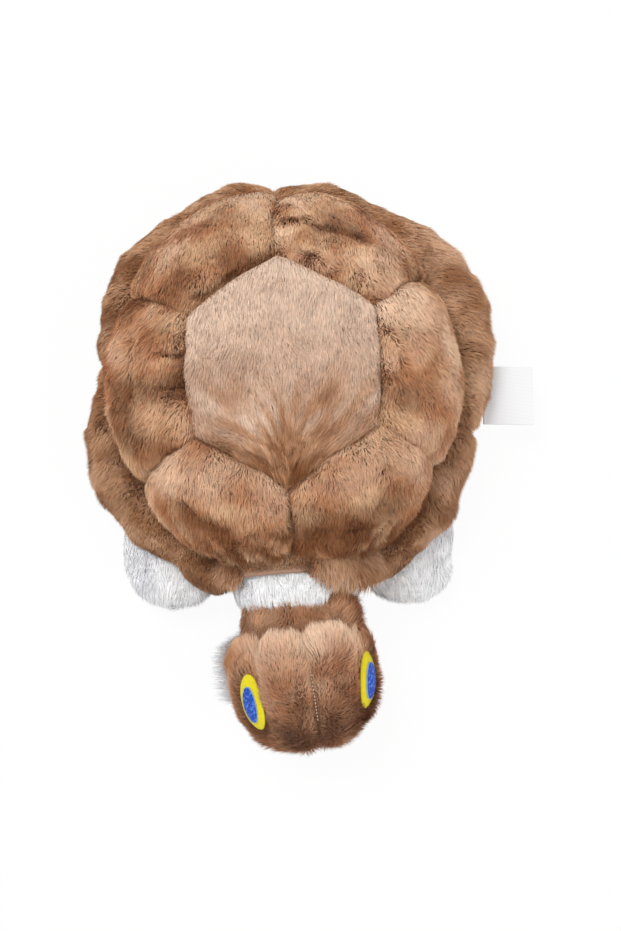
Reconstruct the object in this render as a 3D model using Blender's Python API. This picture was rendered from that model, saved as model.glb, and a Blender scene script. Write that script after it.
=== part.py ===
"""A stuffed plush turtle, sewn from fur panels over fibre filling.

The head points along -Y and +Z is up. The origin is the middle of the flat belly.
"""
import math

import bmesh
import bpy
from mathutils import Matrix, Vector

MM = 0.001

# Shell: the filling and the fur panels that lie on it
shell_half_width = 108.0 * MM
shell_half_length = 122.0 * MM
shell_middle_height = 55.0 * MM
dome_rise = 78.0 * MM
belly_drop = 49.0 * MM
dome_fullness_share = 0.90
belly_fullness_share = 0.68
sewing_gap = 0.6 * MM
lining_gap = 0.4 * MM
backing_gap = 0.8 * MM
seam_depth = 3.2 * MM

# Hexagonal plate and the six plates round it
centre_plate_radius = 66.0 * MM
centre_plate_forward = 7.0 * MM
plate_tip_share = 0.95
centre_plate_crown = 6.5 * MM
side_plate_crown = 8.5 * MM
plate_foot_angle = 85.0
crown_roundness = 2.4

# Padded rim
rim_top_angle = 87.0
rim_bottom_angle = 119.0
rim_depth = 31.0 * MM
rim_reach_shares = ((-60, 1.00), (-42, 0.94), (-30, 0.80), (-20, 0.84), (0, 1.04), (12, 1.24), (24, 1.42),
                    (33, 1.41), (42, 1.28), (54, 0.98), (72, 0.94), (90, 0.88), (102, 0.98), (120, 1.00),
                    (138, 1.12), (150, 0.96), (160, 0.76), (170, 0.62), (180, 0.78), (192, 0.95),
                    (204, 1.12), (216, 1.00), (300, 1.00))
rim_front_seam_angle = 20.0
right_rim_seam_angle = -15.0
left_rim_seam_angle = 170.0
rim_rear_seam_angle = 90.0
rim_end_share = 0.74
seam_stretch_share = 1.6

# Belly
belly_crown = 5.0 * MM
belly_seam_angle = 121.0

# Neck: a ball seated in the shell and a short sleeve in front of it
neck_pivot_x = 1.0 * MM
neck_forward = 2.0 * MM
neck_drop = 12.5 * MM
neck_pivot_y = -(shell_half_length + neck_forward)
neck_height = shell_middle_height - neck_drop
neck_ball_radius = 40.0 * MM
neck_sleeve_step = 5.8 * MM
neck_sleeve_radius = neck_ball_radius - neck_sleeve_step
neck_spread_share = 1.12
neck_skin_thickness = 5.5 * MM
sleeve_flare = 1.4 * MM
neck_length = 62.0 * MM
collar_front_angle = 62.0
collar_back_angle = 104.0
seat_gap = 0.8 * MM
head_seat_gap = 0.7 * MM
hem_thickness = 4.0 * MM
hem_lip_rise = 0.5 * MM
hem_lip_inset = 1.3 * MM
hem_front_angle = 84.0
hem_back_angle = 108.0
hem_reach_angle = 74.0

# Head filling and its panels
head_turn = 8.0
head_roll = 6.0
head_half_width = 42.0 * MM
head_half_height = 30.0 * MM
snout_length = 47.5 * MM
snout_fullness_share = 0.80
head_seam_depth = 4.8 * MM
head_crown = 2.6 * MM
mouth_drop = 14.0 * MM
mouth_half_width = 15.0 * MM
cheek_tip_width = 2.5 * MM
head_back_angle = 140.0
crown_seam_angle = 58.0
throat_seam_angle = -28.0

# Eyes
eye_forward = 15.7 * MM
eye_side = 31.8 * MM
eye_rise = 14.0 * MM
eye_turn = -6.5
iris_half_length = 18.0 * MM
iris_half_width = 7.8 * MM
pupil_half_length = 11.0 * MM
pupil_half_width = 4.4 * MM
eye_seat_depth = 4.8 * MM
iris_thickness = 1.6 * MM
pupil_thickness = 0.9 * MM
pupil_forward = 0.5 * MM
disc_edge_share = 0.6
eye_pad_start_share = 1.4
eye_pad_end_share = 2.0

# Legs
leg_half_width = 36.0 * MM
leg_half_height = 17.4 * MM
leg_floor_gap = 0.4 * MM
leg_fullness_share = 0.72
leg_skin_thickness = 5.0 * MM
leg_opening_overrun = 2.5 * MM
pocket_depth = 30.0 * MM
pocket_bow = 9.0 * MM
front_left_leg_length = 51.0 * MM
front_right_leg_length = 56.0 * MM
front_left_hip_inset = 28.0 * MM
front_right_hip_inset = 35.0 * MM
front_hip_setback = 34.0 * MM
front_left_hip_x = -(shell_half_width - front_left_hip_inset)
front_right_hip_x = shell_half_width - front_right_hip_inset
front_hip_y = -(shell_half_length - front_hip_setback)
front_leg_splay = 4.0
rear_leg_length = 40.0 * MM
rear_hip_inset = 44.0 * MM
rear_hip_setback = 50.0 * MM
rear_hip_x = shell_half_width - rear_hip_inset
rear_hip_y = shell_half_length - rear_hip_setback
rear_leg_splay = 38.0

# Side label
label_width = 41.0 * MM
label_length = 34.0 * MM
label_thickness = 1.2 * MM
label_angle = -4.0
label_hem_radius = 0.9 * MM

# Mesh fineness
plate_across_count = 8
plate_down_count = 8
rim_facet_count = 12
head_across_count = 8
head_along_count = 12
throat_across_count = 14
throat_along_count = 9
neck_facet_count = 28
leg_ring_count = 12
leg_facet_count = 20
rim_across_count = 6
belly_facet_count = 32
hem_arc_count = 3
collar_outer_count = 5
collar_inner_count = 4
neck_ball_count = 8
leg_inner_ring_count = 10
leg_inner_facet_count = 16
filling_ring_count = 14
filling_facet_count = 30
centre_plate_ring_count = 4
belly_ring_count = 5
hem_facet_count = 18
seat_ring_count = 18
seat_facet_count = 30
head_filling_ring_count = 12
head_filling_facet_count = 22
disc_ring_count = 3
disc_facet_count = 20
label_hem_facet_count = 6
crease_angle = 40.0
end_crowding_share = 0.55


def signed_power(value, share):
    return math.copysign(abs(value) ** share, value)


def make_material(name, colour, roughness):
    material = bpy.data.materials.new(name)
    material.use_nodes = True
    shader = material.node_tree.nodes["Principled BSDF"]
    shader.inputs["Base Color"].default_value = (*colour, 1.0)
    shader.inputs["Roughness"].default_value = roughness
    shader.inputs["Metallic"].default_value = 0.0
    return material


def make_pivot(name, place, turn=0.0, parent=None, roll=0.0):
    pivot = bpy.data.objects.new(name, None)
    pivot.location = place
    pivot.rotation_euler = (0.0, math.radians(roll), math.radians(turn))
    pivot.parent = parent
    bpy.context.collection.objects.link(pivot)
    return pivot


def make_object(name, shape, material=None, parent=None):
    """Turn a bmesh into a smooth-shaded object, or into a hidden cutter."""
    bmesh.ops.recalc_face_normals(shape, faces=shape.faces)
    if shape.calc_volume(signed=True) < 0:
        bmesh.ops.reverse_faces(shape, faces=shape.faces)
    mesh = bpy.data.meshes.new(name)
    shape.to_mesh(mesh)
    shape.free()
    mesh.shade_smooth()
    mesh.set_sharp_from_angle(angle=math.radians(crease_angle))
    item = bpy.data.objects.new(name, mesh)
    item.parent = parent
    bpy.context.collection.objects.link(item)
    if material is None:
        item.hide_render = True
        item.display_type = "WIRE"
    else:
        mesh.materials.append(material)
    return item


def cut(target, *cutters):
    for cutter in cutters:
        boolean = target.modifiers.new("cut_" + cutter.name, "BOOLEAN")
        boolean.operation = "DIFFERENCE"
        boolean.object = cutter


class Lobe:
    """A rounded filling: a pole in front, a pole behind and an oval waist between them."""

    def __init__(self, sides, front, back, shares, centre=(0, 0, 0), upright=False):
        self.across, self.tall = sides
        self.front, self.back = front, back
        self.front_share, self.back_share = shares
        self.centre = Vector(centre)
        self.upright = upright

    def share_and_length(self, polar):
        if math.cos(polar) >= 0:
            return self.front_share, self.front
        return self.back_share, self.back

    def place(self, vector):
        """The pole points up on the shell, and forward along -Y on the head and legs."""
        if self.upright:
            return vector
        return Vector((vector.x, -vector.z, vector.y))

    def point(self, polar, around, lift=0.0):
        share, length = self.share_and_length(polar)
        reach = signed_power(math.sin(polar), share)
        rise = signed_power(math.cos(polar), share)
        x = self.across * reach * math.cos(around)
        y = self.tall * reach * math.sin(around)
        z = length * rise
        power = 2.0 / share
        side = reach ** (power - 2.0) if reach > 0 else 0.0
        normal = Vector((side * x / self.across ** 2, side * y / self.tall ** 2,
                         signed_power(rise, power - 1.0) / length))
        if normal.length == 0:
            normal = Vector((0, 0, 1))
        return self.centre + self.place(Vector((x, y, z)) + normal.normalized() * lift)

    def angles(self, point):
        """The angles of the spot on the lobe that lies under a point near it."""
        local = Vector(point) - self.centre
        if not self.upright:
            local = Vector((local.x, local.z, -local.y))
        share, length = (self.front_share, self.front) if local.z >= 0 else (self.back_share, self.back)
        side = math.hypot(local.x / self.across, local.y / self.tall) ** (1 / share)
        rise = (abs(local.z) / length) ** (1 / share)
        polar = math.atan2(side, math.copysign(rise, local.z))
        return polar, math.atan2(local.y / self.tall, local.x / self.across)

    def solid(self, rings, segments):
        shape = bmesh.new()
        first = shape.verts.new(self.point(0.0, 0.0))
        last = shape.verts.new(self.point(math.pi, 0.0))
        loops = []
        for ring in range(1, rings):
            polar = math.pi * ring / rings
            loops.append([shape.verts.new(self.point(polar, math.tau * k / segments))
                          for k in range(segments)])
        for upper, lower in zip(loops, loops[1:]):
            for k in range(segments):
                after = (k + 1) % segments
                shape.faces.new((upper[k], upper[after], lower[after], lower[k]))
        for k in range(segments):
            after = (k + 1) % segments
            shape.faces.new((first, loops[0][k], loops[0][after]))
            shape.faces.new((last, loops[-1][after], loops[-1][k]))
        return shape


def pillow(share):
    """Zero at both ends of 0 to 1, full in the middle, and round like a stuffed panel."""
    return (1.0 - abs(2.0 * share - 1.0) ** crown_roundness) ** (1.0 / crown_roundness)


def eased(step, steps):
    """Steps from 0 to 1 that come closer together near both ends, where panels curve most."""
    even = step / steps
    crowded = (1.0 - math.cos(math.pi * even)) / 2.0
    return even + (crowded - even) * end_crowding_share


def spot(flat):
    """Polar angle and direction of a spot in the flat plan of a lobe, where radius is the angle."""
    return math.hypot(*flat), math.atan2(flat[1], flat[0])


def quilt(shape, outer, inner):
    """Close the space between an outer and an inner grid of points."""
    sheets = []
    for grid in (outer, inner):
        sheets.append([[shape.verts.new(place) for place in row] for row in grid])
    for sheet in sheets:
        for row, following in zip(sheet, sheet[1:]):
            for k in range(len(row) - 1):
                shape.faces.new((row[k], row[k + 1], following[k + 1], following[k]))
    borders = []
    for sheet in sheets:
        start, end = sheet[0], sheet[-1]
        right = [row[-1] for row in sheet[1:-1]]
        left = [row[0] for row in sheet[1:-1]]
        borders.append(start + right + end[::-1] + left[::-1])
    join_loops(shape, *borders)


def join_loops(shape, first, second):
    for k in range(len(first)):
        after = (k + 1) % len(first)
        shape.faces.new((first[k], first[after], second[after], second[k]))


def panel_between(lobe, left_line, right_line, steps, thickness):
    """A padded panel between two seam lines, each a function of a share from 0 to 1.

    Its first edge is straight in the flat plan, and its last edge runs round the lobe.
    """
    across, down = steps
    outer, inner = [], []
    for j in range(down + 1):
        v = eased(j, down)
        left, right = left_line(v), right_line(v)
        outer_row, inner_row = [], []
        for i in range(across + 1):
            u = eased(i, across)
            polar, around = spot(left.lerp(right, u))
            rounded = left.length * (1.0 - u) + right.length * u
            polar += (rounded - polar) * v
            outer_row.append(lobe.point(polar, around, thickness(u, v, polar, around)))
            inner_row.append(lobe.point(polar, around, backing_gap))
        outer.append(outer_row)
        inner.append(inner_row)
    shape = bmesh.new()
    quilt(shape, outer, inner)
    return shape


def round_panel(centre_point, ring_point, rings, segments):
    """A padded disc: each function takes a share of the radius, a step and a side."""
    shape = bmesh.new()
    borders = []
    for side in ("outer", "inner"):
        middle = shape.verts.new(centre_point(side))
        loops = []
        for ring in range(1, rings + 1):
            share = math.sin(0.5 * math.pi * ring / rings)
            loops.append([shape.verts.new(ring_point(share, k, side)) for k in range(segments)])
        for k in range(segments):
            after = (k + 1) % segments
            shape.faces.new((middle, loops[0][k], loops[0][after]))
        for inside, outside in zip(loops, loops[1:]):
            join_loops(shape, inside, outside)
        borders.append(loops[-1])
    join_loops(shape, *borders)
    return shape


def neck_place(forward, radius, angle):
    """A point of the neck, which is wider than it is tall, but round as seen from above."""
    return (radius * math.cos(angle) * neck_spread_share, -forward * neck_spread_share, radius * math.sin(angle))


def turned(profile, segments, start=0.0, sweep=math.tau):
    """Turn a closed profile of (forward, radius) points about the neck's axis, which is -Y."""
    shape = bmesh.new()
    whole = sweep >= math.tau
    count = segments if whole else segments + 1
    loops = []
    for k in range(count):
        angle = start + sweep * k / segments
        loops.append([shape.verts.new(neck_place(forward, radius, angle)) for forward, radius in profile])
    for k in range(segments):
        join_loops(shape, loops[k], loops[(k + 1) % count])
    if not whole:
        shape.faces.new(loops[0])
        shape.faces.new(loops[-1])
    return shape


def arc(radius, first, last, steps):
    """Points of (forward, radius) along a ball, from one angle off the front to another."""
    points = []
    for k in range(steps + 1):
        angle = math.radians(first + (last - first) * k / max(steps, 1))
        points.append((radius * math.cos(angle), radius * math.sin(angle)))
    return points


def clear_scene():
    for item in list(bpy.data.objects):
        bpy.data.objects.remove(item, do_unlink=True)


def shell_lobe():
    return Lobe((shell_half_width, shell_half_length), dome_rise, belly_drop,
                (dome_fullness_share, belly_fullness_share),
                (0, 0, shell_middle_height), upright=True)


def seam_corner(index, polar, forward=0.0):
    angle = math.radians(90.0 + 60.0 * index)
    tip = plate_tip_share if index % 3 == 0 and forward else 1.0
    return Vector((polar * math.cos(angle), polar * math.sin(angle) * tip - forward))


def plate_polar(lobe):
    """Polar angle at which the filling is as wide as the hexagonal plate."""
    return math.asin((centre_plate_radius / lobe.across) ** (1 / dome_fullness_share))


def plate_shift(lobe):
    return centre_plate_forward / lobe.tall


def half_sewing_angle(lobe):
    return 0.5 * sewing_gap / lobe.across * seam_stretch_share


def make_centre_plate(lobe, material):
    corner_polar = plate_polar(lobe) - half_sewing_angle(lobe)
    across = plate_across_count
    border = []
    for index in range(6):
        start, end = (seam_corner(corner, corner_polar, plate_shift(lobe)) for corner in (index, index + 1))
        border += [start.lerp(end, eased(k, across)) for k in range(across)]

    def lift(share, side):
        if side == "inner":
            return backing_gap
        return seam_depth + centre_plate_crown * pillow(0.5 + 0.5 * share)

    centre = Vector((0.0, -plate_shift(lobe)))

    def middle(side):
        return lobe.point(*spot(centre), lift(0.0, side))

    def ring_point(share, k, side):
        return lobe.point(*spot(centre.lerp(border[k], share)), lift(share, side))

    shape = round_panel(middle, ring_point, centre_plate_ring_count, len(border))
    return make_object("centre_plate", shape, material)


def make_side_plate(lobe, name, index, material):
    """One of six panels that run from the hexagon down to the foot of the dome."""
    inner_polar = plate_polar(lobe) + half_sewing_angle(lobe)
    foot_polar = math.radians(plate_foot_angle)
    trim = half_sewing_angle(lobe)

    def seam(corner, direction):
        start, end = seam_corner(corner, inner_polar, plate_shift(lobe)), seam_corner(corner, foot_polar)
        sideways = Vector((-start.y, start.x)).normalized() * trim * direction
        return lambda v: start.lerp(end, v) + sideways

    left, right = seam(index, 1), seam(index + 1, -1)

    def thickness(u, v, polar, around):
        return seam_depth + side_plate_crown * pillow(u) * pillow(v)

    shape = panel_between(lobe, left, right, (plate_across_count, plate_down_count), thickness)
    return make_object(name, shape, material)


def rim_reach_share(around):
    """The roll's own share of its depth, read from the table by its angle round the shell."""
    first = rim_reach_shares[0][0]
    angle = first + (math.degrees(around) - first) % 360.0
    for (low, start), (high, end) in zip(rim_reach_shares, rim_reach_shares[1:]):
        if angle <= high:
            part = (angle - low) / (high - low)
            return start + (end - start) * part * part * (3 - 2 * part)
    return rim_reach_shares[-1][1]


def rim_lift(u, v, around):
    """How far the roll stands off the filling, full in the middle and drawn in at its seams."""
    ends = rim_end_share + (1.0 - rim_end_share) * pillow(u)
    return seam_depth + (rim_depth * rim_reach_share(around) - seam_depth) * pillow(v) * ends


def make_rim_panel(lobe, name, first, last, material):
    """A quarter of the padded roll, between two angles round the shell."""
    top, bottom = math.radians(rim_top_angle), math.radians(rim_bottom_angle)
    trim = half_sewing_angle(lobe)
    start, end = math.radians(first) + trim, math.radians(last) - trim
    outer, inner = [], []
    for j in range(rim_facet_count + 1):
        u = eased(j, rim_facet_count)
        around = start + (end - start) * u
        outer_row, inner_row = [], []
        for i in range(rim_across_count + 1):
            v = eased(i, rim_across_count)
            polar = top + (bottom - top) * v
            outer_row.append(lobe.point(polar, around, rim_lift(u, v, around)))
            inner_row.append(lobe.point(polar, around, backing_gap))
        outer.append(outer_row)
        inner.append(inner_row)
    shape = bmesh.new()
    quilt(shape, outer, inner)
    return make_object(name, shape, material)


def make_belly(lobe, material):
    """The underside, pressed flat where the toy stands."""
    edge = math.radians(180.0 - belly_seam_angle)

    def lift(share, side):
        if side == "inner":
            return backing_gap
        return seam_depth + belly_crown * pillow(0.5 + 0.5 * share)

    def floored(place):
        return Vector((place.x, place.y, max(place.z, 0.0)))

    def middle(side):
        return floored(lobe.point(math.pi, 0.0, lift(0.0, side)))

    def ring_point(share, k, side):
        around = math.tau * k / belly_facet_count
        return floored(lobe.point(math.pi - edge * share, around, lift(share, side)))

    shape = round_panel(middle, ring_point, belly_ring_count, belly_facet_count)
    return make_object("belly_panel", shape, material)


def make_shell(materials, neck_seat, hem_seat, pockets):
    lobe = shell_lobe()
    brown, pale = materials["brown plush"], materials["beige plush"]
    make_centre_plate(lobe, pale)
    names = ("rear_left_plate", "left_plate", "front_left_plate",
             "front_right_plate", "right_plate", "rear_right_plate")
    for index, name in enumerate(names):
        plate = make_side_plate(lobe, name, index, brown)
        if name.startswith("front"):
            cut(plate, neck_seat, hem_seat)
    rims = (("rear_right_rim", right_rim_seam_angle, rim_rear_seam_angle),
            ("rear_left_rim", rim_rear_seam_angle, left_rim_seam_angle),
            ("front_left_rim", left_rim_seam_angle, 270.0 - rim_front_seam_angle),
            ("front_right_rim", -90.0 + rim_front_seam_angle, right_rim_seam_angle))
    for name, first, last in rims:
        rim = make_rim_panel(lobe, name, first, last, brown)
        cut(rim, pockets[name.replace("_rim", "_leg")])
        if name.startswith("front"):
            cut(rim, neck_seat, hem_seat)
    belly = make_belly(lobe, materials["white plush"])
    cut(belly, neck_seat, *pockets.values())
    stuffing = make_object("shell_stuffing", lobe.solid(filling_ring_count, filling_facet_count),
                           materials["fibre filling"])
    cut(stuffing, neck_seat, hem_seat, *pockets.values())


def make_hem(pivot, material):
    """The folded edge of the neck opening: a band that arches over the collar."""
    inner = neck_ball_radius + seat_gap

    def section(grow):
        low, high = inner - grow, inner + hem_thickness + grow
        turn = math.degrees(grow / inner)
        front, back = hem_front_angle - turn, hem_back_angle + turn
        lip = arc((low + high) / 2 + hem_lip_rise, front, front, 0)
        inset = math.degrees(hem_lip_inset / inner)
        return lip + arc(high, front + inset, back, hem_arc_count) + arc(low, back, front + inset, hem_arc_count)

    start = math.radians(90.0 - hem_reach_angle)
    sweep = math.radians(2.0 * hem_reach_angle)
    make_object("neck_hem", turned(section(0.0), hem_facet_count, start, sweep), material, pivot)
    margin = sewing_gap / inner
    seat = turned(section(lining_gap), hem_facet_count, start - margin, sweep + 2 * margin)
    return make_object("hem_seat", seat, parent=pivot)


def make_neck(pivot, head_pivot, materials):
    """Collar and sleeve over a filled ball, hollowed in front for the back of the head."""
    margin = head_seam_depth + head_crown + head_seat_gap
    seat_width, seat_height = head_half_width + margin, head_half_height + margin
    hollow = Lobe((seat_width, seat_height), seat_height, seat_height, (1.0, 1.0))
    head_seat = make_object("head_seat", hollow.solid(seat_ring_count, seat_facet_count), parent=head_pivot)
    inner_ball = neck_ball_radius - neck_skin_thickness
    collar = (arc(neck_ball_radius, collar_front_angle, collar_back_angle, collar_outer_count)
              + arc(inner_ball, collar_back_angle, collar_front_angle, collar_inner_count))
    make_object("neck_collar", turned(collar, neck_facet_count), materials["white plush"], pivot)
    sleeve_back = neck_ball_radius * math.cos(math.radians(collar_front_angle)) + lining_gap
    sleeve_inner = neck_sleeve_radius - neck_skin_thickness
    front = neck_length / neck_spread_share
    sleeve = [(sleeve_back, neck_sleeve_radius - sleeve_flare),
              ((sleeve_back + front) / 2, neck_sleeve_radius),
              (front, neck_sleeve_radius + sleeve_flare),
              (front, sleeve_inner), (sleeve_back, sleeve_inner)]
    fur = make_object("neck_fur", turned(sleeve, neck_facet_count), materials["brown plush"], pivot)
    cut(fur, head_seat)
    ball = inner_ball - lining_gap
    shaft = sleeve_inner - lining_gap
    meeting = math.degrees(math.asin(shaft / ball))
    profile = [(front, 0.0), (front, shaft)] + arc(ball, meeting, 180.0, neck_ball_count)
    filling = make_object("neck_stuffing", spun_solid(profile, neck_facet_count),
                          materials["fibre filling"], pivot)
    cut(filling, head_seat)
    reach = neck_ball_radius + seat_gap
    spread = reach * neck_spread_share
    seat = Lobe((spread, reach), spread, spread, (1.0, 1.0))
    return make_object("neck_seat", seat.solid(seat_ring_count, seat_facet_count), parent=pivot)


def spun_solid(profile, segments):
    """A solid turned about -Y whose profile starts and ends on the axis."""
    shape = bmesh.new()
    first = shape.verts.new(neck_place(*profile[0], 0.0))
    last = shape.verts.new(neck_place(*profile[-1], 0.0))
    loops = []
    for forward, radius in profile[1:-1]:
        loops.append([shape.verts.new(neck_place(forward, radius, math.tau * k / segments))
                      for k in range(segments)])
    for near, far in zip(loops, loops[1:]):
        join_loops(shape, near, far)
    for k in range(segments):
        after = (k + 1) % segments
        shape.faces.new((first, loops[0][after], loops[0][k]))
        shape.faces.new((last, loops[-1][k], loops[-1][after]))
    return shape


def head_lobe():
    return Lobe((head_half_width, head_half_height), snout_length, head_half_height,
                (snout_fullness_share, 1.0))


class Eye:
    """An oval spot on the head, with its own flat axes for the fabric discs."""

    def __init__(self, lobe, side):
        self.lobe = lobe
        middle = Vector((side * eye_side, -eye_forward, eye_rise))
        polar, around = lobe.angles(middle)
        surface = lobe.point(polar, around)
        self.normal = (lobe.point(polar, around, head_half_height) - surface).normalized()
        ahead = (Vector((0, -1, 0)) - self.normal * self.normal.dot((0, -1, 0))).normalized()
        self.along = Matrix.Rotation(math.radians(eye_turn), 3, self.normal) @ ahead
        self.across = self.normal.cross(self.along)
        self.middle = surface

    def share(self, point):
        local = Vector(point) - self.middle
        return math.hypot(local.dot(self.along) / iris_half_length, local.dot(self.across) / iris_half_width)

    def disc(self, half_length, half_width, low, high, forward=0.0):
        """A thin domed oval between two heights above the filling."""
        def place(share, k, side):
            angle = math.tau * k / disc_facet_count
            point = (self.middle + self.along * (forward + share * half_length * math.cos(angle))
                     + self.across * share * half_width * math.sin(angle))
            dome = disc_edge_share + (1.0 - disc_edge_share) * math.sqrt(1.0 - share ** 2)
            lift = low if side == "inner" else low + (high - low) * dome
            return self.lobe.point(*self.lobe.angles(point), lift)

        return round_panel(lambda side: place(0.0, 0, side), place, disc_ring_count, disc_facet_count)


def make_head_panel(lobe, name, lines, eyes, material, pivot, steps):
    """One fur panel, drawn in at the mouth, at its side seams and under the eyes."""
    def thickness(u, v, polar, around):
        full = head_seam_depth + head_crown * pillow(u) * pillow(min(v, 0.5))
        surface = lobe.point(polar, around)
        nearest = min(eye.share(surface) for eye in eyes)
        hold = (eye_pad_end_share - nearest) / (eye_pad_end_share - eye_pad_start_share)
        hold = min(max(hold, 0.0), 1.0)
        return full + (eye_seat_depth - full) * hold * hold * (3 - 2 * hold)

    shape = panel_between(lobe, *lines, steps, thickness)
    return make_object(name, shape, material, pivot)


def seam_line(start, end, shift):
    """A straight seam in the flat plan, moved sideways by half of the sewing gap."""
    along = end - start
    sideways = Vector((-along.y, along.x)).normalized() * shift
    return lambda v: start.lerp(end, v) + sideways


def make_head(pivot, materials):
    """Five panels that run from the mouth to the back of the head, over one filling."""
    lobe = head_lobe()
    eyes = {"left": Eye(lobe, -1), "right": Eye(lobe, 1)}
    trim = 0.5 * sewing_gap / head_half_height * seam_stretch_share
    back = math.radians(head_back_angle)
    mouth_polar = math.asin((mouth_drop / head_half_height) ** (1 / snout_fullness_share))
    mouth_side = mouth_half_width / head_half_width
    cheek_tip = cheek_tip_width / head_half_height

    def back_spot(angle, side=1):
        turn = math.radians(angle)
        return Vector((side * back * math.cos(turn), back * math.sin(turn)))

    brown = materials["brown plush"]
    mouth_middle = Vector((0.0, -mouth_polar + trim))
    throat_lines = []
    for side, name in ((-1, "left"), (1, "right")):
        corner = Vector((side * mouth_side, -mouth_polar + trim))
        low_corner = Vector((side * (mouth_side + cheek_tip), -mouth_polar - cheek_tip))
        upper_back, lower_back = back_spot(crown_seam_angle, side), back_spot(throat_seam_angle, side)
        panels = (("_crown", mouth_middle, back_spot(90.0), corner, upper_back),
                  ("_cheek", corner, upper_back, low_corner, lower_back))
        for part, start, end, other_start, other_end in panels:
            lines = (seam_line(start, end, -side * trim), seam_line(other_start, other_end, side * trim))
            make_head_panel(lobe, name + part, lines, eyes.values(), brown, pivot,
                            (head_across_count, head_along_count))
        throat_lines.append(seam_line(low_corner, lower_back, -side * trim))
    make_head_panel(lobe, "throat_panel", throat_lines, eyes.values(), materials["white plush"], pivot,
                    (throat_across_count, throat_along_count))
    filling = lobe.solid(head_filling_ring_count, head_filling_facet_count)
    make_object("head_stuffing", filling, materials["fibre filling"], pivot)
    for name, eye in eyes.items():
        iris_low = eye_seat_depth + lining_gap
        iris_high = iris_low + iris_thickness
        iris = eye.disc(iris_half_length, iris_half_width, iris_low, iris_high)
        make_object(name + "_iris", iris, materials["yellow felt"], pivot)
        pupil_low = iris_high + lining_gap
        pupil_high = pupil_low + pupil_thickness
        pupil = eye.disc(pupil_half_length, pupil_half_width, pupil_low, pupil_high, pupil_forward)
        make_object(name + "_pupil", pupil, materials["blue felt"], pivot)


def leg_lobe(length, shrink=0.0, back=None):
    half_height = leg_half_height - shrink
    return Lobe((leg_half_width - shrink, half_height), length - shrink,
                half_height if back is None else back, (leg_fullness_share, 1.0))


def make_leg(name, hip, heading, length, materials, neck_seat):
    """A fur sock with its filling, and the pocket that it leaves in the shell."""
    pivot = make_pivot(name + "_hip", hip, heading)
    sock = leg_lobe(length).solid(leg_ring_count, leg_facet_count)
    fur = make_object(name + "_fur", sock, materials["white plush"], pivot)
    opening = leg_lobe(length, leg_skin_thickness, leg_half_height + leg_opening_overrun)
    hollow = make_object(name + "_hollow", opening.solid(leg_inner_ring_count, leg_inner_facet_count), parent=pivot)
    cut(fur, hollow)
    filling = leg_lobe(length, leg_skin_thickness + lining_gap)
    stuffing = make_object(name + "_stuffing", filling.solid(leg_inner_ring_count, leg_inner_facet_count),
                           materials["fibre filling"], pivot)
    if name.startswith("front"):
        cut(fur, neck_seat)
        cut(stuffing, neck_seat)
    return make_object(name + "_pocket", pocket_shape(length), parent=pivot)


def pocket_shape(length):
    """The leg's own shape with a gap round it, open below so that the leg can drop."""
    lobe = leg_lobe(length, -seat_gap)
    shape = lobe.solid(leg_ring_count, leg_facet_count)
    for vert in shape.verts:
        if vert.co.z < 0:
            share = min(-vert.co.z / lobe.tall, 1.0)
            waist = math.sqrt(1.0 - share * share)
            vert.co.z = -pocket_depth + pocket_bow * waist
    return shape


def rim_contact(lobe, forward, half):
    """The spot on the right rim's facets that stands out the most behind the label."""
    sideways = Vector((-forward.y, forward.x, 0))
    first, last = math.radians(right_rim_seam_angle), math.radians(rim_rear_seam_angle)
    middle_polar = math.radians((rim_top_angle + rim_bottom_angle) / 2)
    corners = []
    for j in range(rim_facet_count + 1):
        u = eased(j, rim_facet_count)
        around = first + (last - first) * u
        corners.append(lobe.point(middle_polar, around, rim_lift(u, 0.5, around)))
    spots = []
    for start, end in zip(corners, corners[1:]):
        low, high = start.dot(sideways), end.dot(sideways)
        for side in (max(low, -half), min(high, half)):
            if low <= side <= high:
                spots.append(start.lerp(end, (side - low) / (high - low)))
    return max(spots, key=forward.dot)


def make_label(material):
    """A folded woven label whose sewn edge, on the right rim, is its hinge."""
    lobe, around = shell_lobe(), math.radians(label_angle)
    forward = Vector((math.cos(around), math.sin(around), 0))
    half = label_width / 2
    contact = rim_contact(lobe, forward, half)
    clearance = label_hem_radius + lining_gap
    place = Vector((0, 0, contact.z)) + forward * (contact.dot(forward) + clearance)
    pivot = make_pivot("label_seam", place, label_angle)
    shape = bmesh.new()
    section = []
    neck = math.asin(label_thickness / 2 / label_hem_radius)
    for k in range(label_hem_facet_count + 1):
        turn = neck + (math.tau - 2.0 * neck) * k / label_hem_facet_count
        section.append((label_hem_radius * math.cos(turn), label_hem_radius * math.sin(turn)))
    section += [(label_length, -label_thickness / 2), (label_length, label_thickness / 2)]
    loops = [[shape.verts.new((x, side * half, z)) for x, z in section] for side in (-1, 1)]
    join_loops(shape, *loops)
    shape.faces.new(loops[0])
    shape.faces.new(loops[1])
    make_object("side_label", shape, material, pivot)


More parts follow.
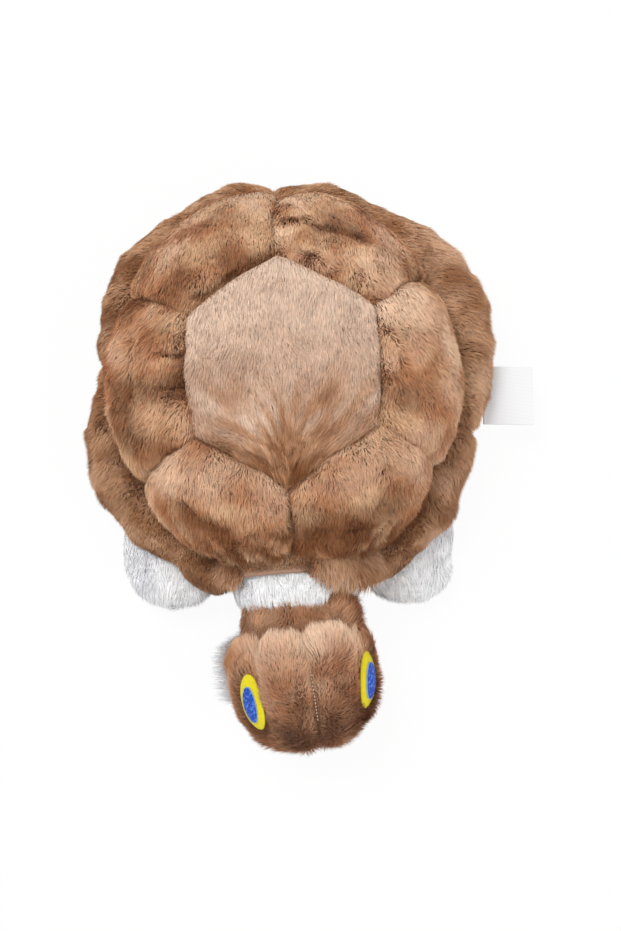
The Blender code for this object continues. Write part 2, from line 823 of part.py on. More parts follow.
def build():
    clear_scene()
    materials = {name: make_material(name, colour, roughness) for name, colour, roughness in (
        ("brown plush", (0.33, 0.19, 0.11), 0.95), ("beige plush", (0.50, 0.35, 0.25), 0.95),
        ("white plush", (0.85, 0.85, 0.86), 0.95), ("fibre filling", (0.90, 0.90, 0.88), 1.0),
        ("yellow felt", (0.85, 0.75, 0.03), 0.8), ("blue felt", (0.03, 0.14, 0.50), 0.8),
        ("white woven tape", (0.88, 0.88, 0.88), 0.6))}
    neck_pivot = make_pivot("neck_pivot", (neck_pivot_x, neck_pivot_y, neck_height))
    head_pivot = make_pivot("head_pivot", (0, -neck_length, 0), head_turn, neck_pivot, head_roll)
    opening_pivot = make_pivot("opening_pivot", (neck_pivot_x, neck_pivot_y, neck_height))
    neck_seat = make_neck(neck_pivot, head_pivot, materials)
    hem_seat = make_hem(opening_pivot, materials["brown plush"])
    make_head(head_pivot, materials)
    pockets = {}
    hip_height = leg_half_height + leg_floor_gap
    for side, name, front_hip_x, front_leg_length in (
            (-1, "left", front_left_hip_x, front_left_leg_length),
            (1, "right", front_right_hip_x, front_right_leg_length)):
        pockets[f"front_{name}_leg"] = make_leg(
            f"front_{name}_leg", (front_hip_x, front_hip_y, hip_height),
            side * front_leg_splay, front_leg_length, materials, neck_seat)
        pockets[f"rear_{name}_leg"] = make_leg(
            f"rear_{name}_leg", (side * rear_hip_x, rear_hip_y, hip_height),
            side * (180.0 - rear_leg_splay), rear_leg_length, materials, neck_seat)
    make_shell(materials, neck_seat, hem_seat, pockets)
    make_label(materials["white woven tape"])


build()
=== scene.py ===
# %% [markdown]
# A stuffed turtle sewn from long-pile plush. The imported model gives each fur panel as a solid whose
# outside is the average height of the pile. Here every panel becomes what it is on the real toy:
# a thin backing cloth, pulled in at its seams, with thousands of standing fibres.
# The cloth is made in mesh code, and one Geometry Nodes tree plants the pile on all of it.

# %% Load the frame
import math

import bmesh
import bpy
import numpy as np
from mathutils import Matrix, Vector, noise


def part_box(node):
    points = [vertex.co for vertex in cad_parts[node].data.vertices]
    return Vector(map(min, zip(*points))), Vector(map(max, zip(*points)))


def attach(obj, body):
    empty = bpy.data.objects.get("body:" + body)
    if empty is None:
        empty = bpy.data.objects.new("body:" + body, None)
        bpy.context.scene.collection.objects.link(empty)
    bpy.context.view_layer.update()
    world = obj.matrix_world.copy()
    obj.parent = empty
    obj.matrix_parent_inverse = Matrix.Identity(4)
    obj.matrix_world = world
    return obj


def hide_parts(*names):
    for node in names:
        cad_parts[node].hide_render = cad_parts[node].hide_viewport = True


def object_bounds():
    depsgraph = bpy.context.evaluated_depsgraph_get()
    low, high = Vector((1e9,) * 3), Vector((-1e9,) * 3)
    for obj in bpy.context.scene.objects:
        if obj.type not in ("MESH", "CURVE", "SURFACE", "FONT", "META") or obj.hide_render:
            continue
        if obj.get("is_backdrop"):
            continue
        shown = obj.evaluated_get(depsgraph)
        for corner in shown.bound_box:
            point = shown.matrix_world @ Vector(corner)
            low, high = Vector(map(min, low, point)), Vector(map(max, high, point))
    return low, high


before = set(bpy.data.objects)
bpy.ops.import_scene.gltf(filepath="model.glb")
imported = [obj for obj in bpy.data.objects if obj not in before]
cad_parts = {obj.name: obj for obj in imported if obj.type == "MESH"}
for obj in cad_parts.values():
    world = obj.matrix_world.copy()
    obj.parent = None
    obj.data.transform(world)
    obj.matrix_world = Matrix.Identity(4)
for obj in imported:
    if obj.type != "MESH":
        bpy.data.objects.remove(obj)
cad_box = [list(corner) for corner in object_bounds()]
MM = 0.001

# %% [markdown]
# One helper adds a node with its settings and its inputs, in shader trees and geometry trees alike, and
# hands back the output that the next node reads. Colours are written as sRGB hex values, as one would
# pick them, and turned to linear in one place.

# %% Node, colour and object helpers
MATH, VECTOR, RANDOM = "ShaderNodeMath", "ShaderNodeVectorMath", "FunctionNodeRandomValue"
NOISE, MIX, RANGE = "ShaderNodeTexNoise", "ShaderNodeMix", "ShaderNodeMapRange"
PRINCIPLED, BUMP, OUTPUT = "ShaderNodeBsdfPrincipled", "ShaderNodeBump", "ShaderNodeOutputMaterial"
READ, STORE = "GeometryNodeInputNamedAttribute", "GeometryNodeStoreNamedAttribute"


def add(tree, kind, inputs=(), output=0, **settings):
    """Add a node with its settings and its inputs, by name or place, and give one output or all."""
    made = tree.nodes.new(kind)
    for key, value in settings.items():
        setattr(made, key, value)
    for key, value in inputs.items() if isinstance(inputs, dict) else enumerate(inputs):
        if isinstance(value, bpy.types.NodeSocket):
            tree.links.new(value, made.inputs[key])
        else:
            made.inputs[key].default_value = value
    return made.outputs[output] if output is not None and len(made.outputs) else made.outputs


def linear(text):
    """An sRGB hex colour as the linear RGBA that Blender's sockets take."""
    values = [int(text[k:k + 2], 16) / 255 for k in (1, 3, 5)]
    return tuple(v / 12.92 if v <= 0.04045 else ((v + 0.055) / 1.055) ** 2.4 for v in values) + (1.0,)


def new_material(name):
    material = bpy.data.materials.new(name)
    material.use_nodes = True
    material.node_tree.nodes.clear()
    return material, material.node_tree


def link(name, data):
    """Put a mesh, a lamp or a camera into the scene."""
    item = bpy.data.objects.new(name, data)
    bpy.context.scene.collection.objects.link(item)
    return item


# %% [markdown]
# The camera looks almost straight down, a little from the front, as the photograph was taken.
# Its distance and lens were fitted to the outline of the toy in the photograph's frame.

# %% Camera
frame_height_px = 931
focal_px = 1216.0
camera_distance = 0.8
camera_elevation = math.radians(80.0)
camera_azimuth = math.radians(-3.4)
camera_target = Vector((0.014, -0.0575, 0.06))
sensor_height = 24.0

camera = link("camera", bpy.data.cameras.new("camera"))
camera.data.sensor_fit = "VERTICAL"
camera.data.sensor_height = sensor_height
camera.data.lens = focal_px * sensor_height / frame_height_px
camera.data.clip_start = 0.01
level = math.cos(camera_elevation)
back = Vector((math.sin(camera_azimuth) * level, -math.cos(camera_azimuth) * level,
               math.sin(camera_elevation)))
right = Vector((math.cos(camera_azimuth), math.sin(camera_azimuth), 0.0))
axes = Matrix((right, back.cross(right), back)).transposed()
camera.matrix_world = Matrix.Translation(camera_target + back * camera_distance) @ axes.to_4x4()
bpy.context.scene.camera = camera
bpy.context.scene.view_settings.view_transform = "Standard"
print("lens:", round(camera.data.lens, 1), "mm")

# %% [markdown]
# The light is a soft studio: a large lamp above, a weaker one from the side, and an even surround.
# The floor and the surround look white to the camera only, so they add no light to the toy.

# %% Floor and surround
floor_size = 6.0
floor_glow_share = 0.94
surround_strength = 0.62
white = (1.0, 1.0, 1.0, 1.0)

floor_mesh = bpy.data.meshes.new("studio_floor")
corners = [(x * floor_size / 2, y * floor_size / 2, 0.0) for x, y in ((-1, -1), (1, -1), (1, 1), (-1, 1))]
floor_mesh.from_pydata(corners, [], [(0, 1, 2, 3)])
studio_floor = link("studio_floor", floor_mesh)
# Matt paper: no gloss, and the soft shadow of the toy shows on it.
paper, tree = new_material("white paper floor")
on_camera = add(tree, "ShaderNodeLightPath", output="Is Camera Ray")
sheet = add(tree, "ShaderNodeBsdfDiffuse", {"Color": linear("#F4F4F4")})
glow = add(tree, "ShaderNodeEmission", {"Color": white, "Strength": on_camera})
share = add(tree, MATH, (on_camera, floor_glow_share), operation="MULTIPLY")
add(tree, OUTPUT, {"Surface": add(tree, "ShaderNodeMixShader", (share, sheet, glow))})
floor_mesh.materials.append(paper)
studio_floor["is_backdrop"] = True

world = bpy.data.worlds.new("soft surround")
world.use_nodes = True
tree = world.node_tree
tree.nodes.clear()
on_camera = add(tree, "ShaderNodeLightPath", output="Is Camera Ray")
soft, seen = (add(tree, "ShaderNodeBackground", {"Color": white, "Strength": strength})
              for strength in (surround_strength, 1.0))
add(tree, "ShaderNodeOutputWorld", {"Surface": add(tree, "ShaderNodeMixShader", (on_camera, soft, seen))})
bpy.context.scene.world = world

# %% Lamps
lamp_target = Vector((0, 0, 0.05))
for name, place, size, power in (("key_lamp", (-0.5, 0.5, 1.5), 0.8, 14.0),
                                 ("fill_lamp", (0.9, -0.9, 1.1), 1.0, 6.0)):
    lamp = bpy.data.lights.new(name, "AREA")
    lamp.shape = "DISK"
    lamp.size = size
    lamp.energy = power
    item = link(name, lamp)
    item.location = place
    item.rotation_mode = "QUATERNION"
    item.rotation_quaternion = (Vector(place) - lamp_target).to_track_quat("Z", "Y")
    print(name, power, "W")

# %% [markdown]
# Plush fur is dyed polyester pile. Each fibre is painted darker at its root, as painted shade where little
# light reaches, and paler at its tip, and the dye varies in soft patches over the cloth. The pile mesh
# carries three attributes for this: how far along its fibre a point is, a shade of its own for each fibre,
# and a tone that says where the cloth is paler or deeper in colour, painted shade at seams and creases
# included.

# %% Plush material
tuft_mottling_size = 7.0 * MM


def plush(name, light, dark, root, pale, deep, patch_mm=32.0, contrast=0.2, sheen=0.12):
    """Dyed plush: two dyes in soft patches, painted shade at the roots, and the cloth's pale and deep places,
    painted shade among them.
    """
    material, tree = new_material(name)
    place = add(tree, "ShaderNodeTexCoord", output="Object")
    tone, along, shade = (add(tree, "ShaderNodeAttribute", output="Fac", attribute_name=label)
                          for label in ("tone", "along", "shade"))
    patches = add(tree, NOISE, {"Vector": place, "Scale": 1.0 / (patch_mm * MM), "Detail": 3.0,
                                "Roughness": 0.6})
    dye = linear(light)
    for value, low, high, second, blend in ((patches, 0.38, 0.62, dark, "SMOOTHSTEP"),
                                            (tone, 0.0, 1.0, pale, "LINEAR"),
                                            (tone, 0.0, -1.0, deep, "LINEAR")):
        share = add(tree, RANGE, {"Value": value, "From Min": low, "From Max": high},
                    interpolation_type=blend)
        dye = add(tree, MIX, {"Factor": share, "A": dye, "B": linear(second)}, "Result", data_type="RGBA")
    share = add(tree, RANGE, {"Value": along, "From Min": 0.0, "From Max": 0.6}, interpolation_type="LINEAR")
    body = add(tree, MIX, {"Factor": share, "A": linear(root), "B": dye}, "Result", data_type="RGBA")
    tufts = add(tree, NOISE, {"Vector": place, "Scale": 1.0 / tuft_mottling_size, "Detail": 2.0})
    mottling = add(tree, RANGE, {"Value": tufts, "From Min": 0.3, "From Max": 0.7, "To Min": 0.95,
                                 "To Max": 1.05}, interpolation_type="SMOOTHSTEP")
    variation = add(tree, MATH, (shade, contrast, 1.0 - 0.5 * contrast), operation="MULTIPLY_ADD")
    value = add(tree, MATH, (variation, mottling), operation="MULTIPLY")
    colour = add(tree, "ShaderNodeHueSaturation", {"Color": body, "Value": value})
    shader = add(tree, PRINCIPLED, {"Base Color": colour, "Roughness": 0.85, "Sheen Weight": sheen,
                                    "Sheen Roughness": 0.5, "Specular IOR Level": 0.15})
    add(tree, OUTPUT, {"Surface": shader})
    return material


def two_tone(name, texture, pattern, colours, roughness, relief=None, **settings):
    """A material whose two tones follow one texture, which may also raise its surface by a size in mm."""
    material, tree = new_material(name)
    place = add(tree, "ShaderNodeTexCoord", output="Object")
    pattern = add(tree, texture, dict(pattern, Vector=place), "Fac", **settings)
    dark, light = map(linear, colours)
    tone = add(tree, MIX, {"Factor": pattern, "A": dark, "B": light}, "Result", data_type="RGBA")
    surface = {"Base Color": tone, "Roughness": roughness}
    if relief:
        relief = {"Height": pattern, "Strength": relief[0], "Distance": relief[1] * MM}
        surface["Normal"] = add(tree, BUMP, relief)
    add(tree, OUTPUT, {"Surface": add(tree, PRINCIPLED, surface)})
    return material


# Brushed polyester pile is dull and soft: hardly any gloss, and a faint bloom where it is seen edge-on.
beige_plush = plush("pale beige plush", "#D6A884", "#C4936E", "#C8A486", "#EACFB9", "#85532F", contrast=0.34)
tan_plush = plush("tan plush", "#EAC29A", "#CF946A", "#B88360", "#FBDCBE", "#8E5B38")
rim_plush = plush("brown rim plush", "#D8AC86", "#B38059", "#9A6B4C", "#EBC6A6", "#7C4E32", patch_mm=24.0)
head_plush = plush("brown head plush", "#EBBE98", "#D0976F", "#B4825F", "#FFE2C6", "#8C5B3E", patch_mm=28.0)
hem_plush = plush("brown hem plush", "#D8AC86", "#B38059", "#B4907A", "#EBC6A6", "#7C4E32", patch_mm=24.0)
white_plush = plush("white plush", "#FFFFFF", "#FBFBFD", "#F0F0F4", "#FFFFFF", "#D0D2D8", patch_mm=30.0)
print("plush materials:", sum("plush" in material.name for material in bpy.data.materials))

# %% [markdown]
# The shell, the head and the legs are each a rounded filling. The curve below is the one that the
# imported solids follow, so the cloth lies where they are. A panel is a grid of points on it, lifted by
# the padding, which is full in the middle and drawn in at the seams.

# %% Rounded fillings
def signed_power(value, share):
    return math.copysign(abs(value) ** share, value)


class Lobe:
    """A rounded filling: a pole in front, a pole behind and an oval waist between them."""

    def __init__(self, sides, front, back, shares, centre=(0, 0, 0), upright=False):
        self.across, self.tall = sides
        self.lengths = front, back
        self.shares = shares
        self.centre = Vector(centre)
        self.upright = upright

    def point(self, polar, around, lift=0.0):
        """The place on the filling at two angles, lifted off it."""
        end = 0 if math.cos(polar) >= 0 else 1
        share, length = self.shares[end], self.lengths[end]
        reach = signed_power(math.sin(polar), share)
        rise = signed_power(math.cos(polar), share)
        x = self.across * reach * math.cos(around)
        y = self.tall * reach * math.sin(around)
        power = 2.0 / share
        side = reach ** (power - 2.0) if reach > 0 else 0.0
        normal = Vector((side * x / self.across ** 2, side * y / self.tall ** 2,
                         signed_power(rise, power - 1.0) / length))
        if normal.length == 0:
            normal = Vector((0, 0, 1))
        place = Vector((x, y, length * rise)) + normal.normalized() * lift
        return self.centre + (place if self.upright else Vector((place.x, -place.z, place.y)))

    def local(self, point):
        """A point in the filling's own axes, with its front pole along Z, and which end it is at."""
        away = Vector(point) - self.centre
        if not self.upright:
            away = Vector((away.x, away.z, -away.y))
        return away, 0 if away.z >= 0 else 1

    def angles(self, point):
        """The angles of the spot on the filling that lies under a point near it."""
        local, end = self.local(point)
        side = math.hypot(local.x / self.across, local.y / self.tall) ** (1 / self.shares[end])
        rise = (abs(local.z) / self.lengths[end]) ** (1 / self.shares[end])
        around = math.atan2(local.y / self.tall, local.x / self.across)
        return math.atan2(side, math.copysign(rise, local.z)), around

    def holds(self, point):
        """Whether a point is inside the filling."""
        local, end = self.local(point)
        power = 2.0 / self.shares[end]
        across = math.hypot(local.x / self.across, local.y / self.tall)
        return across ** power + (abs(local.z) / self.lengths[end]) ** power < 1.0


# %% Smooth steps, waves and spots
def pillow(share, roundness=2.4):
    """Zero at both ends of 0 to 1, full in the middle, and round like a stuffed panel."""
    return max(1.0 - abs(2.0 * share - 1.0) ** roundness, 0.0) ** (1.0 / roundness)


def smooth(value, low, high):
    t = min(max((value - low) / (high - low), 0.0), 1.0)
    return t * t * (3.0 - 2.0 * t)


def past(length, low, high):
    """A smooth step from 0 to 1 between two lengths in mm."""
    return smooth(length, low * MM, high * MM)


def waves(place, size, shift=(0, 0, 0)):
    """Soft noise between -1 and 1 whose waves have a size in mm."""
    return noise.noise(place / (size * MM) + Vector(shift))


def near(place, spot_mm, reach):
    """One at a spot seen from above and less round it; sizes are in mm."""
    return math.exp(-((place.xy / MM - Vector(spot_mm)).length / reach) ** 2)


def spot(flat):
    """Length and direction of a flat vector."""
    return math.hypot(*flat), math.atan2(flat[1], flat[0])


# %% Sizes of the shell, neck, head and legs
shell_half_width, shell_half_length = 108.0 * MM, 122.0 * MM
shell = Lobe((shell_half_width, shell_half_length), 78.0 * MM, 49.0 * MM, (0.90, 0.68),
             (0, 0, 55.0 * MM), True)
shell_middle = Vector((0, 0, 45.0 * MM))
sewing_gap = 0.6 * MM
seam_depth = 3.2 * MM
pile_sink = 4.6 * MM
# An angle covers less cloth on the slopes of a filling, so the angle of a gap is taken this much wider.
slope_allowance = 1.6
half_sewing_angle = 0.5 * sewing_gap / shell_half_width * slope_allowance
neck_pivot = Vector((1.0, -124.0, 42.5)) * MM
neck_ball_radius = 40.0 * MM
neck_spread = 1.12
neck_frame = Matrix.Translation(neck_pivot)
neck_length = 62.0 * MM
head_turn, head_roll = Matrix.Rotation(math.radians(8.0), 4, "Z"), Matrix.Rotation(math.radians(6.0), 4, "Y")
head_frame = neck_frame @ Matrix.Translation((0, -neck_length, 0)) @ head_turn @ head_roll
to_head = head_frame.inverted()
leg_half_width, leg_half_height = 36.0 * MM, 17.4 * MM
hip_height = leg_half_height + 0.4 * MM
leg_inside = Vector((0, -15.0 * MM, 0))
# Each leg's hip in mm, its turn in degrees and its length in mm.
leg_sizes = {"front_left_leg": (-80.0, -88.0, -4.0, 51.0), "front_right_leg": (73.0, -88.0, 4.0, 56.0),
             "rear_left_leg": (-64.0, 72.0, -142.0, 40.0), "rear_right_leg": (64.0, 72.0, 142.0, 40.0)}


def leg_lobe(length, shrink):
    height = leg_half_height - shrink
    return Lobe((leg_half_width - shrink, height), length * MM - shrink, height, (0.72, 1.0))


leg_frames = {name: Matrix.Translation((x * MM, y * MM, hip_height))
              @ Matrix.Rotation(math.radians(turn), 4, "Z")
              for name, (x, y, turn, length) in leg_sizes.items()}


def from_neck(place):
    """How far a place is from the middle of the neck's ball, which is wider than it is tall."""
    away = place - neck_pivot
    return Vector((away.x / neck_spread, away.y / neck_spread, away.z)).length


def clear_of_neck(place):
    return from_neck(place) > neck_ball_radius - 1.0 * MM


def clear_of_legs(place):
    return not any(leg_lobe(length, 2.0 * MM).holds(leg_frames[name].inverted() @ place)
                   for name, (x, y, turn, length) in leg_sizes.items())


print("shell filling:", round(2 * shell_half_width / MM), "x", round(2 * shell_half_length / MM), "mm")

# %% [markdown]
# Backing cloth is woven as a plain grid, trimmed where the neck and legs come through, crumpled a
# little, and lined so that it is a closed sheet about a millimetre thick. Three attributes go with it:
# how long the pile is at each spot, which is short at the seams, which way it was brushed, and how pale
# or deep its colour is, painted shade at seams and creases included. Blender's vector noise starts from a
# new seed each time, so one is set here: every run is alike.

# %% Weave and crumple a backing cloth
noise.seed_set(1)
lining = 0.8 * MM


def weave(point, across, down, pile, centre):
    """A grid of points as the outer face of a cloth, turned outwards from a centre."""
    cloth = bmesh.new()
    layer = cloth.verts.layers.float.new("pile")
    rows = []
    for j in range(down + 1):
        rows.append([])
        for i in range(across + 1):
            place = point(i / across, j / down)
            vert = cloth.verts.new(place)
            vert[layer] = pile(i / across, j / down, place)
            rows[-1].append(vert)
    for row, after in zip(rows, rows[1:]):
        for k in range(across):
            cloth.faces.new((row[k], row[k + 1], after[k + 1], after[k]))
    bmesh.ops.remove_doubles(cloth, verts=cloth.verts, dist=1e-6)
    cloth.normal_update()
    outward = sum(face.normal.dot(face.calc_center_median() - centre) * face.calc_area()
                  for face in cloth.faces)
    if outward < 0:
        bmesh.ops.reverse_faces(cloth, faces=cloth.faces)
    cloth.normal_update()
    return cloth


def trim(cloth, *clears):
    gone = [vert for vert in cloth.verts if not all(clear(vert.co) for clear in clears)]
    bmesh.ops.delete(cloth, geom=gone, context="VERTS")
    cloth.normal_update()


def crumple(cloth, folds, seed):
    """Push the cloth in and out by soft noise; folds lists sizes and heights in mm."""
    for vert in cloth.verts:
        push = sum(height * MM * waves(vert.co, size, (seed, 0, 0)) for size, height in folds)
        vert.co += vert.normal * push
    cloth.normal_update()


def sink(cloth, depth):
    """Press the cloth in, by a depth in mm that depends on the place."""
    for vert in cloth.verts:
        vert.co -= vert.normal * (depth(vert.co) * MM)
    cloth.normal_update()


# %% Brush and tint the pile
rear_flattening = 2.2
parting = 1.2


def comb(cloth, flow, swirl, size, seed):
    """Brush the pile along a flow, flatter on the rear slopes, with swirls of a given size in mm."""
    layer = cloth.verts.layers.float_vector.new("nap")
    for vert in cloth.verts:
        lay = Vector(flow(vert.co))
        lay -= vert.normal * lay.dot(vert.normal)
        if lay.length > 0:
            lay *= (1.0 + rear_flattening * max(vert.normal.y, 0.0)) / lay.length
        wander = noise.noise_vector(vert.co / (size * MM) + Vector((0, seed, 0))) * swirl
        wander -= vert.normal * wander.dot(vert.normal)
        vert[layer] = lay + wander


def brush(cloth, way, amount):
    """Brush the pile further along a way, by an amount; both depend on the place."""
    nap = cloth.verts.layers.float_vector["nap"]
    for vert in cloth.verts:
        push = way(vert.co)
        vert[nap] += (push - vert.normal * vert.normal.dot(push)) * amount(vert.co)


def ruffle(cloth, amount, size):
    """Curl the nap in waves of a given size in mm, by an amount that depends on the place."""
    nap = cloth.verts.layers.float_vector["nap"]
    for vert in cloth.verts:
        vert[nap] += noise.noise_vector(vert.co / (size * MM)) * amount(vert.co)


def tint(cloth, tone=lambda place: 0.0, seams=0.0):
    """Mark where the cloth is pale, up to 1, or deep in colour, down to -1; short pile marks a seam, where
    painted shade darkens it.
    """
    layer, pile = cloth.verts.layers.float.new("tone"), cloth.verts.layers.float["pile"]
    for vert in cloth.verts:
        vert[layer] = min(max(tone(vert.co) - seams * smooth(0.8 - vert[pile], 0.0, 0.35), -1.0), 1.0)


# %% Fold and line the cloth
def fold(cloth, line, depth, width, crease_shade):
    """Press a crease into the cloth along a line seen from above, in mm, part the pile there, and darken it
    with painted shade.
    """
    nap = cloth.verts.layers.float_vector["nap"]
    tone = cloth.verts.layers.float["tone"]
    points = [Vector((x, y)) * MM for x, y in line]
    for vert in cloth.verts:
        gaps = []
        for start, end in zip(points, points[1:]):
            along = end - start
            share = min(max((vert.co.xy - start).dot(along) / along.length_squared, 0.0), 1.0)
            gaps.append(vert.co.xy - start - along * share)
        gap = min(gaps, key=lambda item: item.length)
        close = math.exp(-(gap.length / (width * MM)) ** 2)
        if close > 0.02:
            vert.co -= vert.normal * depth * MM * close
            if gap.length > 0:
                vert[nap] += Vector((*gap.normalized(), 0.0)) * close * parting
            vert[tone] = max(vert[tone] - crease_shade * close, -1.0)
    cloth.normal_update()


def line_cloth(cloth):
    """Add the inner face and the edges, so that the cloth is a closed sheet."""
    pile = cloth.verts.layers.float["pile"]
    outer = list(cloth.faces)
    copies = {}
    for vert in list(cloth.verts):
        copies[vert] = cloth.verts.new(vert.co - vert.normal * lining, vert)
        copies[vert][pile] = 0.0
    for edge in [edge for edge in cloth.edges if edge.is_boundary]:
        first, last = edge.verts
        if edge.link_loops[0].vert != first:
            first, last = last, first
        cloth.faces.new((last, first, copies[first], copies[last]))
    for face in outer:
        cloth.faces.new([copies[vert] for vert in reversed(face.verts)])
    cloth.normal_update()


def as_mesh(cloth, name, material=None):
    """Turn mesh code's cloth into a smooth mesh."""
    mesh = bpy.data.meshes.new(name)
    cloth.to_mesh(mesh)
    cloth.free()
    mesh.shade_smooth()
    if material:
        mesh.materials.append(material)
    return mesh


# %% [markdown]
# The pile itself follows a rule, so Geometry Nodes plant it. Roots are scattered over the cloth, and a
# second, sparser scatter marks tufts. Each fibre is a narrow ribbon that stands up from its root, bends
# over along the nap, and leans its tip towards the tip of the nearest tuft, which gives the clumped look
# and the dark partings of real plush.

# %% A new Geometry Nodes tree, and what grows from it
def new_tree(name, sizes):
    """A tree that takes a mesh and named sizes: the tree, its inputs and the inputs' identifiers."""
    tree = bpy.data.node_groups.new(name, "GeometryNodeTree")
    panel = tree.interface
    panel.new_socket("Geometry", in_out="INPUT", socket_type="NodeSocketGeometry")
    for label, kind in sizes.items():
        panel.new_socket(label, in_out="INPUT", socket_type="NodeSocket" + kind)
    panel.new_socket("Geometry", in_out="OUTPUT", socket_type="NodeSocketGeometry")
    identifiers = {item.name: item.identifier for item in panel.items_tree if item.in_out == "INPUT"}
    print(name, "takes", ", ".join(identifiers))
    return tree, add(tree, "NodeGroupInput", output=None), identifiers


def end_tree(tree, given, geometry):
    """Make real meshes of what a tree built, paint them and hand them out."""
    whole = add(tree, "GeometryNodeRealizeInstances", (geometry,))
    painted = add(tree, "GeometryNodeSetMaterial", {"Geometry": whole, "Material": given["Material"]})
    add(tree, "NodeGroupOutput", (painted,))
    print(tree.name, "nodes:", len(tree.nodes))


def grow(name, mesh, tree, identifiers, values):
    """Run a tree on a mesh, and keep what it makes as a plain mesh."""
    base = link(name + "_base", mesh)
    modifier = base.modifiers.new(tree.name, "NODES")
    modifier.node_group = tree
    for label, value in values.items():
        modifier[identifiers[label]] = value
    graph = bpy.context.evaluated_depsgraph_get()
    made = bpy.data.meshes.new_from_object(base.evaluated_get(graph))
    bpy.data.objects.remove(base)
    bpy.data.meshes.remove(mesh)
    made.name = name
    return link(name, made)


# %% Plush pile: where each fibre's root and tip are
pile_tree, given, pile_identifiers = new_tree("plush pile", {
    "Fibres per square metre": "Float", "Pile length": "Float", "Fibre width": "Float", "Lean": "Float",
    "Clumping": "Float", "Tufts per square metre": "Float", "Unruliness": "Float", "Seed": "Int",
    "Material": "Material"})
bare_below = 0.08
tuft_stray, fibre_stray, facing_stray = 0.55, 0.42, 0.75
shortest, longest = 0.82, 1.12
bend_share = 0.55
tip_narrowing = 0.4
tree = pile_tree
place = add(tree, "GeometryNodeInputPosition")
full, nap = (add(tree, READ, {"Name": name}, "Attribute", data_type=kind)
             for name, kind in (("pile", "FLOAT"), ("nap", "FLOAT_VECTOR")))
furred = add(tree, "FunctionNodeCompare", {"A": full, "B": bare_below}, data_type="FLOAT",
             operation="GREATER_THAN")
tuft_seed = add(tree, MATH, (given["Seed"], 31.0), operation="ADD")
tufts, roots = (add(tree, "GeometryNodeDistributePointsOnFaces",
                    {"Mesh": given["Geometry"], "Selection": furred, "Density": given[density], "Seed": seed},
                    None, distribute_method="RANDOM")
                for density, seed in (("Tufts per square metre", tuft_seed),
                                      ("Fibres per square metre", given["Seed"])))


def tip_of(normal, stray, seed):
    """A fibre's tip: up along the normal, laid over by the nap, and a little astray; and its length."""
    way = normal
    stray = add(tree, RANDOM, {0: (-stray,) * 3, 1: (stray,) * 3, "Seed": seed}, data_type="FLOAT_VECTOR")
    for push, amount in ((nap, "Lean"), (stray, "Unruliness")):
        push = add(tree, VECTOR, {0: push, "Scale": given[amount]}, operation="SCALE")
        way = add(tree, VECTOR, (way, push), operation="ADD")
    way = add(tree, VECTOR, (way,), operation="NORMALIZE")
    varied = add(tree, RANDOM, {2: shortest, 3: longest, "Seed": seed + 5}, 1, data_type="FLOAT")
    long = add(tree, MATH, (given["Pile length"], full), operation="MULTIPLY")
    long = add(tree, MATH, (long, varied), operation="MULTIPLY")
    reach = add(tree, VECTOR, {0: way, "Scale": long}, operation="SCALE")
    return add(tree, VECTOR, (place, reach), operation="ADD"), long


tuft_tip = tip_of(tufts["Normal"], tuft_stray, 3)[0]
own_tip, long = tip_of(roots["Normal"], fibre_stray, 11)
nearest = add(tree, "GeometryNodeSampleNearest", {"Geometry": tufts["Points"], "Sample Position": place},
              "Index", domain="POINT")
pulled = add(tree, "GeometryNodeSampleIndex",
             {"Geometry": tufts["Points"], "Value": tuft_tip, "Index": nearest},
             data_type="FLOAT_VECTOR", domain="POINT")
tip = add(tree, MIX, {"Factor": given["Clumping"], 4: own_tip, 5: pulled}, 1, data_type="VECTOR")

# %% Plush pile: how each fibre bends, and which way its ribbon faces
bend_height = add(tree, MATH, (long, bend_share), operation="MULTIPLY")
bend = add(tree, VECTOR, {0: roots["Normal"], "Scale": bend_height}, operation="SCALE")
bend = add(tree, VECTOR, (place, bend), operation="ADD")
turned = add(tree, RANDOM, {0: (-facing_stray,) * 3, 1: (facing_stray,) * 3, "Seed": 23},
             data_type="FLOAT_VECTOR")
turned = add(tree, VECTOR, (roots["Normal"], turned), operation="ADD")
straight = add(tree, VECTOR, (tip, place), operation="SUBTRACT")
side = add(tree, VECTOR, (turned, straight), operation="CROSS_PRODUCT")
side = add(tree, VECTOR, (side,), operation="NORMALIZE")
shade = add(tree, RANDOM, {2: 0.0, 3: 1.0, "Seed": 41}, 1, data_type="FLOAT")
number = add(tree, MATH, (add(tree, "GeometryNodeInputIndex"), 1.0), operation="ADD")
points = roots["Points"]
for name, value, kind in (("root", place, "FLOAT_VECTOR"), ("tip", tip, "FLOAT_VECTOR"),
                          ("bend", bend, "FLOAT_VECTOR"), ("side", side, "FLOAT_VECTOR"),
                          ("shade", shade, "FLOAT"), ("strand", number, "INT")):
    points = add(tree, STORE, {"Geometry": points, "Name": name, "Value": value},
                 data_type=kind, domain="POINT")

# %% Plush pile: one ribbon, pointed at its tip, on every root
# The last of the ribbon's three rows, at 0.5, is drawn together to a point.
last_row_above = 0.4
ribbon = add(tree, "GeometryNodeMeshGrid", {"Size X": 2.0, "Size Y": 1.0, "Vertices X": 2, "Vertices Y": 3})
ribbon_x, ribbon_y = add(tree, "ShaderNodeSeparateXYZ", (place,), None)[:2]
wide = add(tree, MATH, (ribbon_y, last_row_above), operation="LESS_THAN")
narrowed = add(tree, MATH, (ribbon_x, wide), operation="MULTIPLY")
narrowed = add(tree, "ShaderNodeCombineXYZ", (narrowed, ribbon_y))
ribbon = add(tree, "GeometryNodeSetPosition", {"Geometry": ribbon, "Position": narrowed})
ribbon = add(tree, "GeometryNodeMergeByDistance", {"Geometry": ribbon, "Distance": 0.01})
for name, value in (("along", add(tree, MATH, (ribbon_y, 0.5), operation="ADD")), ("across", ribbon_x)):
    ribbon = add(tree, STORE, {"Geometry": ribbon, "Name": name, "Value": value},
                 data_type="FLOAT", domain="POINT")
